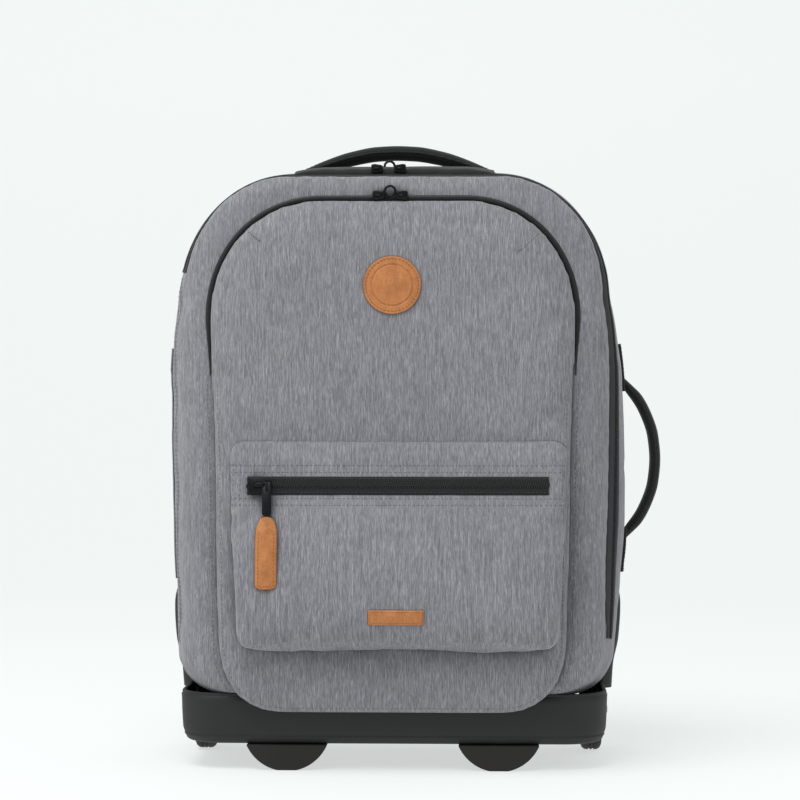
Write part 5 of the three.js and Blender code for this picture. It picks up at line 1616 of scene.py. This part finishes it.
def build_side_pocket(case_skin):
    """The stretch pocket on the left: sewn down at its front, back and foot, with a hemmed mouth."""
    aim = (1, 0, 0)
    heights = np.linspace(SIDE_POCKET_BOTTOM, SIDE_POCKET_TOP, 64)
    depths = np.linspace(-1, 1, 41)
    middle_y = (SIDE_POCKET_FRONT_Y + SIDE_POCKET_BACK_Y) / 2
    deep = SIDE_POCKET_BACK_Y - SIDE_POCKET_FRONT_Y
    hem_z = SIDE_POCKET_TOP - SIDE_POCKET_HEM
    found, _ = case_skin.along([(0, middle_y + share * deep / 2, z) for z in heights for share in depths], aim)
    rise = np.repeat(np.linspace(0, 1, len(heights)), len(depths))
    share = np.tile(depths, len(heights))
    bow = (1 - np.abs(share) ** 3.0) ** 0.6
    wall_x = -BODY_WIDTH / 2 - SIDE_POCKET_STAND * smooth_read(SIDE_POCKET_RISE, "stand", rise)
    gather = 0.45 * np.sin(share * 26) * (1 - smooth_step(0.02, 0.3, rise)) * bow
    hem = 0.6 * smooth_step(hem_z - 1, hem_z, np.repeat(heights, len(depths)))
    reach = SEAM_STAND + np.maximum(found[:, 0] - wall_x - SEAM_STAND, 0) * bow + gather + hem
    outer = found - np.outer(reach, aim)
    inner = outer + np.outer(1.3 + hem, aim)
    pocket = thick_sheet("side_pocket_cloth", outer, inner, len(heights), GREY)
    put_on(pocket, "side_pocket_left")
    along = np.linspace(SIDE_POCKET_FRONT_Y + 2, SIDE_POCKET_BACK_Y - 2, 30)
    rows = [np.array([(0, y, z) for y in along]) for z in (hem_z, hem_z + 2.6)]
    sew("side_pocket_stitches", rows, Surface(pocket), GREY_THREAD, "grey_fabric", aim, long=2.4, gap=1.0, thick=0.45)


# The base, its housings and feet


def tray_ring(width, front, back, corner, z, steps=30):
    """A rounded rectangle of points at one height."""
    plan = rounded_box_plan(width, back - front, corner, steps)
    return np.column_stack([plan[:, 0], plan[:, 1] + (front + back) / 2, np.full(len(plan), z)])


def build_tray():
    """The moulded base: a dish with a crease near its foot, a rim bead and rounded corners."""
    def ring(inset, corner, z):
        width = TRAY_WIDTH - 2 * inset
        return tray_ring(width, TRAY_FRONT_Y + inset, TRAY_BACK_Y - inset, corner, TRAY_BOTTOM + z)

    rings = [shrunk(ring(9, TRAY_CORNER - 8, 0), (share, share, 1)) for share in (0.25, 0.6, 0.88)]
    rings += [ring(inset, TRAY_CORNER - inset * 0.6, z) for z, inset in TRAY_OUTSIDE]
    rings += [ring(inset, TRAY_CORNER - inset, z) for z, inset in TRAY_INSIDE]
    rings += [shrunk(rings[-1], (share, share, 1)) for share in (0.7, 0.35)]
    tray = loft("base_tray_moulding", rings, BLACK_PLASTIC)
    cut_wheel_wells(tray)
    join(tray, build_housings())
    put_on(tray, "base_tray")


def join(main, others):
    """Makes one mesh of a piece and others."""
    mesh = bmesh.new()
    mesh.from_mesh(main.data)
    for other in others:
        mesh.from_mesh(other.data)
        bpy.data.objects.remove(other)
    mesh.to_mesh(main.data)
    mesh.free()


def build_housings():
    """The two housings over the wheels, at the rear corners of the base."""
    made = []
    for hand, side in ((-1, "left"), (1, "right")):
        rings = []
        for rise in np.concatenate([np.linspace(0, 0.9, 22), np.linspace(0.92, 1, 7)]):
            section = read_row(HOUSING_SECTIONS, rise)
            out = HOUSING_OUTER_X - (1 - section["out"]) * 45
            front = HOUSING_FRONT_Y + section["front"] * HOUSING_DEPTH
            back = HOUSING_FRONT_Y + HOUSING_DEPTH * (1 - section["back"])
            z = TRAY_TOP - 6 + (HOUSING_TOP - TRAY_TOP + 6) * rise
            dome = smooth_step(0.9, 1.0, rise) * 5.0
            ring = tray_ring(out - HOUSING_INNER_X - dome, front + dome, back - dome, 11.0, z, 10)
            ring[:, 0] += (out + HOUSING_INNER_X) / 2 - dome / 2
            ring[:, 0] *= hand
            rings.append(ring)
        made.append(loft(f"housing_{side}", rings, BLACK_PLASTIC))
    for piece in made:
        cut_wheel_wells(piece)
    return made


def cut_away(piece, rings):
    """Cuts the closed form through some rings of points out of a piece."""
    cutter = loft("cutter", rings, piece.data.materials[0])
    cut = piece.modifiers.new("cut", "BOOLEAN")
    cut.operation = "DIFFERENCE"
    cut.solver = "EXACT"
    cut.object = cutter
    bake(piece)
    bpy.data.objects.remove(cutter)


def cut_wheel_wells(piece):
    """Cuts the room that the wheels turn in, open at the foot and at the back."""
    radius = WHEEL_RADIUS + WHEEL_CLEARANCE
    half = WHEEL_WIDTH / 2 + WHEEL_CLEARANCE
    turn = np.linspace(0, 2 * math.pi, 72, endpoint=False)
    for hand in (-1, 1):
        cut_away(piece, [np.column_stack([
            np.full(72, hand * WHEEL_X + x), WHEEL_Y + radius * np.cos(turn), WHEEL_RADIUS + radius * np.sin(turn),
        ]) for x in (-half, half)])


def soften(obj, width, segments=3):
    """Rounds the sharp edges of a piece by width millimetres."""
    bevel = obj.modifiers.new("soft edges", "BEVEL")
    bevel.width = width * MM
    bevel.segments = segments
    bevel.limit_method = "ANGLE"
    bevel.angle_limit = math.radians(40)


def build_feet():
    """The half disc feet under the front edge, with a flat to stand on."""
    drop = TRAY_BOTTOM - GAP
    start = math.asin(FOOT_FLAT / 2 / FOOT_RADIUS)
    end = math.acos(1 - (drop + FOOT_RADIUS * (1 - math.cos(start))) / FOOT_RADIUS)
    turns = np.linspace(start, end, 24)
    half = [(FOOT_RADIUS * math.sin(a), FOOT_RADIUS * (math.cos(start) - math.cos(a))) for a in turns]
    plan = [(-x, z) for x, z in half[::-1]] + half
    for hand, node in ((-1, "front_foot_left"), (1, "front_foot_right")):
        points = [(x + hand * FOOT_X, y, min(z, drop))
                  for y in (FOOT_FRONT_Y, FOOT_FRONT_Y + FOOT_THICK) for x, z in plan]
        faces = tube_faces(2, len(plan))
        foot = face_out(new_piece(node + "_rubber", points, faces, BLACK_RUBBER, smooth=False))
        soften(foot, 1.4, 4)
        bake(foot)
        put_on(foot, node)


def lathe_x(name, middle_x, profile, material, around=96):
    """A solid of revolution about a wheel's axle; the profile is a closed loop of (across, radius)."""
    turn = np.linspace(0, 2 * math.pi, around, endpoint=False)
    profile = np.asarray(profile, float)
    points = [
        (middle_x + across, WHEEL_Y + radius * math.cos(a), WHEEL_RADIUS + radius * math.sin(a))
        for across, radius in profile for a in turn
    ]
    rows = len(profile)
    faces = []
    for row in range(rows):
        after = (row + 1) % rows
        for step in range(around):
            nxt = (step + 1) % around
            faces.append((row * around + step, row * around + nxt, after * around + nxt, after * around + step))
    return face_out(new_piece(name, points, faces, material))


def build_wheels():
    """Rubber tyres with a grooved tread on hubs with a rim, a web and a boss."""
    half = WHEEL_WIDTH / 2
    tread = [
        (-half, 26.0), (-half + 0.4, 30.0), (-half + 1.6, 32.4), (-half + 3.4, 33.6), (-half + 4.6, 33.9),
        (-2.3, 34.0), (-2.0, 33.1), (-1.0, 33.1), (-0.7, 34.0), (0.7, 34.0), (1.0, 33.1), (2.0, 33.1), (2.3, 34.0),
        (half - 4.6, 33.9), (half - 3.4, 33.6), (half - 1.6, 32.4), (half - 0.4, 30.0), (half, 26.0),
        (half - 0.5, HUB_RADIUS + GAP + 0.1), (half - 1.5, HUB_RADIUS + GAP), (-half + 1.5, HUB_RADIUS + GAP),
        (-half + 0.5, HUB_RADIUS + GAP + 0.1),
    ]
    hub = [
        (-half + 1.2, HUB_RADIUS), (-half + 0.8, HUB_RADIUS - 0.8), (-half + 0.8, HUB_RADIUS - 3.0),
        (-half + 1.6, HUB_RADIUS - 3.8), (-2.6, HUB_RADIUS - 5.2), (-2.4, HUB_RADIUS - 7.0), (-2.6, 9.6),
        (-3.4, 8.4), (-half + 0.6, 7.6), (-half + 0.2, 7.0), (-half + 0.2, 3.8), (-half + 0.8, 3.3),
        (half - 0.8, 3.3), (half - 0.2, 3.8), (half - 0.2, 7.0), (half - 0.6, 7.6), (3.4, 8.4), (2.6, 9.6),
        (2.4, HUB_RADIUS - 7.0), (2.6, HUB_RADIUS - 5.2), (half - 1.6, HUB_RADIUS - 3.8),
        (half - 0.8, HUB_RADIUS - 3.0), (half - 0.8, HUB_RADIUS - 0.8), (half - 1.2, HUB_RADIUS),
    ]
    for hand, side in ((-1, "left"), (1, "right")):
        tyre = lathe_x(f"tyre_{side}_rubber", hand * WHEEL_X, tread, BLACK_RUBBER)
        put_on(tyre, f"tyre_{side}", f"wheel_{side}")
        wheel = lathe_x(f"hub_{side}_moulding", hand * WHEEL_X, hub, BLACK_PLASTIC)
        spokes = Heap()
        for turn in np.arange(6) * math.pi / 3:
            radial = np.array([0, math.cos(turn), math.sin(turn)])
            round_way = np.array([0, -math.sin(turn), math.cos(turn)])
            centre = np.array([hand * WHEEL_X, WHEEL_Y, WHEEL_RADIUS]) + radial * 14.0
            plan = rounded_box_plan(3.0, 12.5, 0.8, 3)
            for face in (-1, 1):
                solid_prism(spokes, plan, 0.0, 6.2, 0.6, centre, round_way, radial, np.array([face, 0, 0]))
        spoke_piece = face_out(spokes.piece(f"spokes_{side}", BLACK_PLASTIC))
        join(wheel, [spoke_piece])
        put_on(wheel, f"hub_{side}", f"wheel_{side}")


# The back: padded panel, shoulder straps and the telescopic handle


def quilt_depth(points):
    """How strongly each point of the back lies in a quilted furrow, from 0 to 1."""
    x, z = np.abs(points[:, 0]), points[:, 2]
    furrow = np.exp(-(x / QUILT_CHANNEL) ** 2)
    for height in QUILT_HEIGHTS:
        slope = height + 0.12 * x
        side = smooth_step(QUILT_CHANNEL, QUILT_CHANNEL * 2, x)
        furrow = np.maximum(furrow, np.exp(-((z - slope) / 4.5) ** 2) * side)
    return furrow * (points[:, 1] > BODY_BACK_Y + 6)


def build_back():
    """The quilted back of air mesh, with a channel up its middle and room for the tubes."""
    rows = []
    base_y = BODY_BACK_Y + GAP
    for inset in (0, 0.3, 1.2, 2.6, 4.2, 7, 10, 15, 22, 30):
        stand = float(smooth_read(BACK_ROWS, "stand", inset)) * BACK_THICK
        rows.append(upright(outline(BACK_SHAPE, inset, 300), base_y + stand))
    rows += [shrunk(rows[-1], (share, 1, share)) for share in (0.75, 0.5, 0.25)]
    floor = [upright(outline(BACK_SHAPE, inset, 300), base_y) for inset in (60, 8)]
    back = loft("back_padded", np.array(floor + rows), BLACK_MESH)
    densify(back, 5.0)
    places = vertex_places(back)
    places[:, 1] -= 5.0 * quilt_depth(places)
    set_places(back, places)
    rim = closed_outline(BACK_SHAPE, 0, base_y)

    def hold(points):
        flat = 1 - smooth_step(base_y + 1, base_y + 5, points[:, 1])
        return np.maximum.reduce([flat, quilt_depth(points), near(points, rim, 8)])

    puff(back, hold, **BACK_PUFF)
    subdivide(back)
    for hand in (-1, 1):
        half = TUBE_ACROSS / 2 + GAP
        rings = [
            tube_ring(hand * TUBE_X, half, BODY_BACK_Y - 20, TUBE_Y + TUBE_DEEP / 2 + GAP, z)
            for z in (TRAY_TOP - 20, BACK_TOP + 20)
        ]
        cut_away(back, rings)
    put_on(back, "back_panel")
    piping = Heap()
    edge, _ = resample(closed_outline(BACK_SHAPE, 1.2, base_y + 3.0), 3.0)
    outward = np.tile([0.0, 1.0, 0.0], (len(edge), 1))
    sweep(piping, edge, outward, round_profile(3.4, 3.4, 12))
    put_on(piping.piece("back_piping", BLACK_CLOTH), None)


def tube_ring(x, half, low_y, high_y, z):
    """The four corners of an upright channel at one height."""
    return np.array([(x - half, low_y, z), (x + half, low_y, z), (x + half, high_y, z), (x - half, high_y, z)])


def back_route(table, hand, face_y, count):
    """A route down one side of the back, from a table of shares."""
    across, rise, stand = table_line(table, ["across", "rise", "stand"], count)
    x = hand * across * BACK_WIDTH / 2
    z = TRAY_TOP + rise * (BACK_TOP - TRAY_TOP)
    return np.column_stack([x, face_y + stand, z])


def build_straps():
    """The padded shoulder straps, each with bound edges, and the webbing below them."""
    face = BODY_BACK_Y + GAP + BACK_THICK
    for hand, side in ((-1, "left"), (1, "right")):
        places = back_route(STRAP_ROUTE, hand, face + STRAP_THICK / 2, 80)
        share = np.linspace(0, 1, len(places))
        ends = np.sqrt(smooth_step(-0.01, 0.05, share) * smooth_step(-0.01, 0.05, 1 - share))
        widths = STRAP_WIDTH * (1 - 0.3 * share ** 2) * (0.72 + 0.28 * ends)
        thicks = STRAP_THICK * (0.55 + 0.45 * np.sin(math.pi * np.minimum(share + 0.1, 0.9))) * (0.35 + 0.65 * ends)
        normals = strap_normals(places)
        strap, sides = padded_sweep(f"strap_{side}_padded", places, normals, widths, thicks, BLACK_MESH, 0.96)
        put_on(strap, f"shoulder_strap_{side}")
        piping = Heap()
        for edge_hand in (-1, 1):
            edge = places[2:-2] + sides[2:-2] * (edge_hand * (widths[2:-2] / 2 - 0.6))[:, None]
            sweep(piping, edge, normals[2:-2], round_profile(3.0, 3.0, 12))
        put_on(piping.piece(f"strap_{side}_piping", BLACK_CLOTH), None)
        line = back_route(WEBBING_ROUTE, hand, face + WEBBING_THICK, 50)
        web = Heap()
        sweep(web, line, strap_normals(line), flat_profile(WEBBING_WIDTH, WEBBING_THICK * 0.7))
        piece = face_out(web.piece(f"webbing_{side}_band", BLACK_WEBBING))
        put_on(piece, f"webbing_{side}")


def strap_normals(places):
    """Directions away from the back, square to a strap that runs down it."""
    tangents = np.gradient(places, axis=0)
    tangents /= np.linalg.norm(tangents, axis=1, keepdims=True)
    away = np.tile([0.0, 1.0, 0.0], (len(places), 1))
    normals = away - tangents * (away * tangents).sum(axis=1, keepdims=True)
    return normals / np.linalg.norm(normals, axis=1, keepdims=True)


def dress_handle():
    """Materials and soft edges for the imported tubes, bridge, grip and axles."""
    dressed = {
        "outer_tube_left": (ALUMINIUM, 0.3), "outer_tube_right": (ALUMINIUM, 0.3),
        "mid_tube_left": (ALUMINIUM, 0.3), "mid_tube_right": (ALUMINIUM, 0.3),
        "inner_tube_left": (ALUMINIUM, 0.3), "inner_tube_right": (ALUMINIUM, 0.3),
        "axle_left": (STEEL, 0.3), "axle_right": (STEEL, 0.3),
        "mid_bridge": (BLACK_PLASTIC, 1.0), "grip": (BLACK_PLASTIC, 0),
    }
    for node, (material, width) in dressed.items():
        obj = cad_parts[node]
        obj.data.materials.clear()
        obj.data.materials.append(material)
        if width:
            soften(obj, width)


def build_grip():
    """The hand grip: a rounded bar, slimmer in its middle and at its ends."""
    middle_y = TUBE_Y + (GRIP_DEPTH - TUBE_DEEP) / 2
    along = np.concatenate([np.linspace(-1, -0.84, 18), np.linspace(-0.8, 0.8, 33), np.linspace(0.84, 1, 18)])
    rings = []
    for place in along:
        slim = float(smooth_read(GRIP_ENDS, "slim", place))
        plan = rounded_box_plan(GRIP_DEPTH - 2 * slim, GRIP_HEIGHT - 2 * slim, max(6.2 - slim, 1.5), 8)
        z = GRIP_LOW_Z + GRIP_HEIGHT / 2
        rings.append(np.column_stack([np.full(len(plan), place * GRIP_HALF), middle_y + plan[:, 0], z + plan[:, 1]]))
    grip = loft("grip_moulding", rings, BLACK_PLASTIC)
    put_on(grip, "grip", "handle_upper")


# Stage, light and camera


def floor_material():
    """A pale floor that glows a little, so that its shadows stay light."""
    n = Nodes("studio_floor")
    n.feed(n.shader.inputs["Emission Color"], (*FLOOR_TONE, 1.0))
    n.feed(n.shader.inputs["Emission Strength"], FLOOR_GLOW)
    color = tuple(part * FLOOR_ALBEDO for part in FLOOR_TONE)
    return n.finish(color, 0.9, specular_ior_level=0.0)


def build_stage():
    """A pale seamless floor that curves up into a back wall."""
    back = 2600.0
    radius = 900.0
    rows = [(-3400.0, 0.0)]
    for step in range(13):
        turn = math.radians(90 * step / 12)
        rows.append((back - radius + radius * math.sin(turn), radius * (1 - math.cos(turn))))
    rows.append((back, 3600.0))
    points = [(x, y, z) for y, z in rows for x in (-4200.0, 4200.0)]
    faces = [(2 * row, 2 * row + 1, 2 * row + 3, 2 * row + 2) for row in range(len(rows) - 1)]
    floor = new_piece("studio_floor", points, faces, floor_material())


def area_light(name, place, aim, size, power):
    """A rectangular lamp that points at a place."""
    data = bpy.data.lights.new(name, "AREA")
    data.shape = "RECTANGLE"
    data.size, data.size_y = size
    data.energy = power
    lamp = bpy.data.objects.new(name, data)
    bpy.context.collection.objects.link(lamp)
    lamp.location = place
    lamp.rotation_euler = (Vector(aim) - Vector(place)).to_track_quat("-Z", "Y").to_euler()


def build_light():
    """A wide soft light from above and in front, a fill from each side and a pale sky."""
    middle = (0, 0, 0.28)
    area_light("key", (-0.6, -1.15, 2.5), middle, (1.8, 1.2), KEY_POWER)
    area_light("fill_left", (-2.0, -0.9, 0.9), middle, (1.2, 1.6), LEFT_POWER)
    area_light("fill_right", (2.0, -0.9, 0.9), middle, (1.2, 1.6), RIGHT_POWER)
    world = bpy.data.worlds.new("pale_sky")
    world.use_nodes = True
    sky = world.node_tree.nodes["Background"]
    sky.inputs["Color"].default_value = (0.93, 0.975, 0.965, 1)
    sky.inputs["Strength"].default_value = SKY_POWER
    bpy.context.scene.world = world


def build_camera():
    """The camera stands where the photo was taken: level, and slightly to the right."""
    data = bpy.data.cameras.new("camera")
    data.sensor_width = 36.0
    data.lens = CAMERA_LENS
    data.clip_end = 50
    camera = bpy.data.objects.new("camera", data)
    bpy.context.collection.objects.link(camera)
    turn = math.radians(CAMERA_TURN)
    aim = np.array([CAMERA_AIM_X, CAMERA_PIVOT_Y, CAMERA_HEIGHT])
    place = aim + CAMERA_DISTANCE * np.array([math.sin(turn), -math.cos(turn), 0])
    camera.location = to_scene(place)
    camera.rotation_euler = (math.radians(90), 0, turn)
    bpy.context.scene.camera = camera


case = build_body()
panel = build_panel()
pocket = build_pocket()
case_skin = Surface(case)
panel_skin = Surface(panel)
pocket_skin = Surface(pocket)
build_main_zip(case_skin)
build_front_zip(case_skin)
build_pocket_zip(pocket_skin)
build_panel_seams(case_skin, panel_skin)
build_side_seam(case_skin)
build_pocket_seams(pocket_skin)
build_round_patch(panel_skin)
build_label(pocket_skin)
slider_pair(("main_slider_a", "main_slider_b", "main_ring"), -4.5, 480.0, 4.0, case_skin, 5.0)
slider_pair(("front_slider_a", "front_slider_b", "front_ring"), -2.0, 459.0, 3.5, case_skin, 1.5)
build_pocket_pull(pocket_skin)
build_top_handle()
build_handle_base(case_skin)
build_side_handle()
build_side_tabs(case_skin)
build_side_pocket(case_skin)
build_tray()
build_feet()
build_wheels()
build_back()
build_straps()
build_grip()
dress_handle()
build_stage()
build_light()
build_camera()
bpy.context.scene.view_settings.view_transform = "Standard"
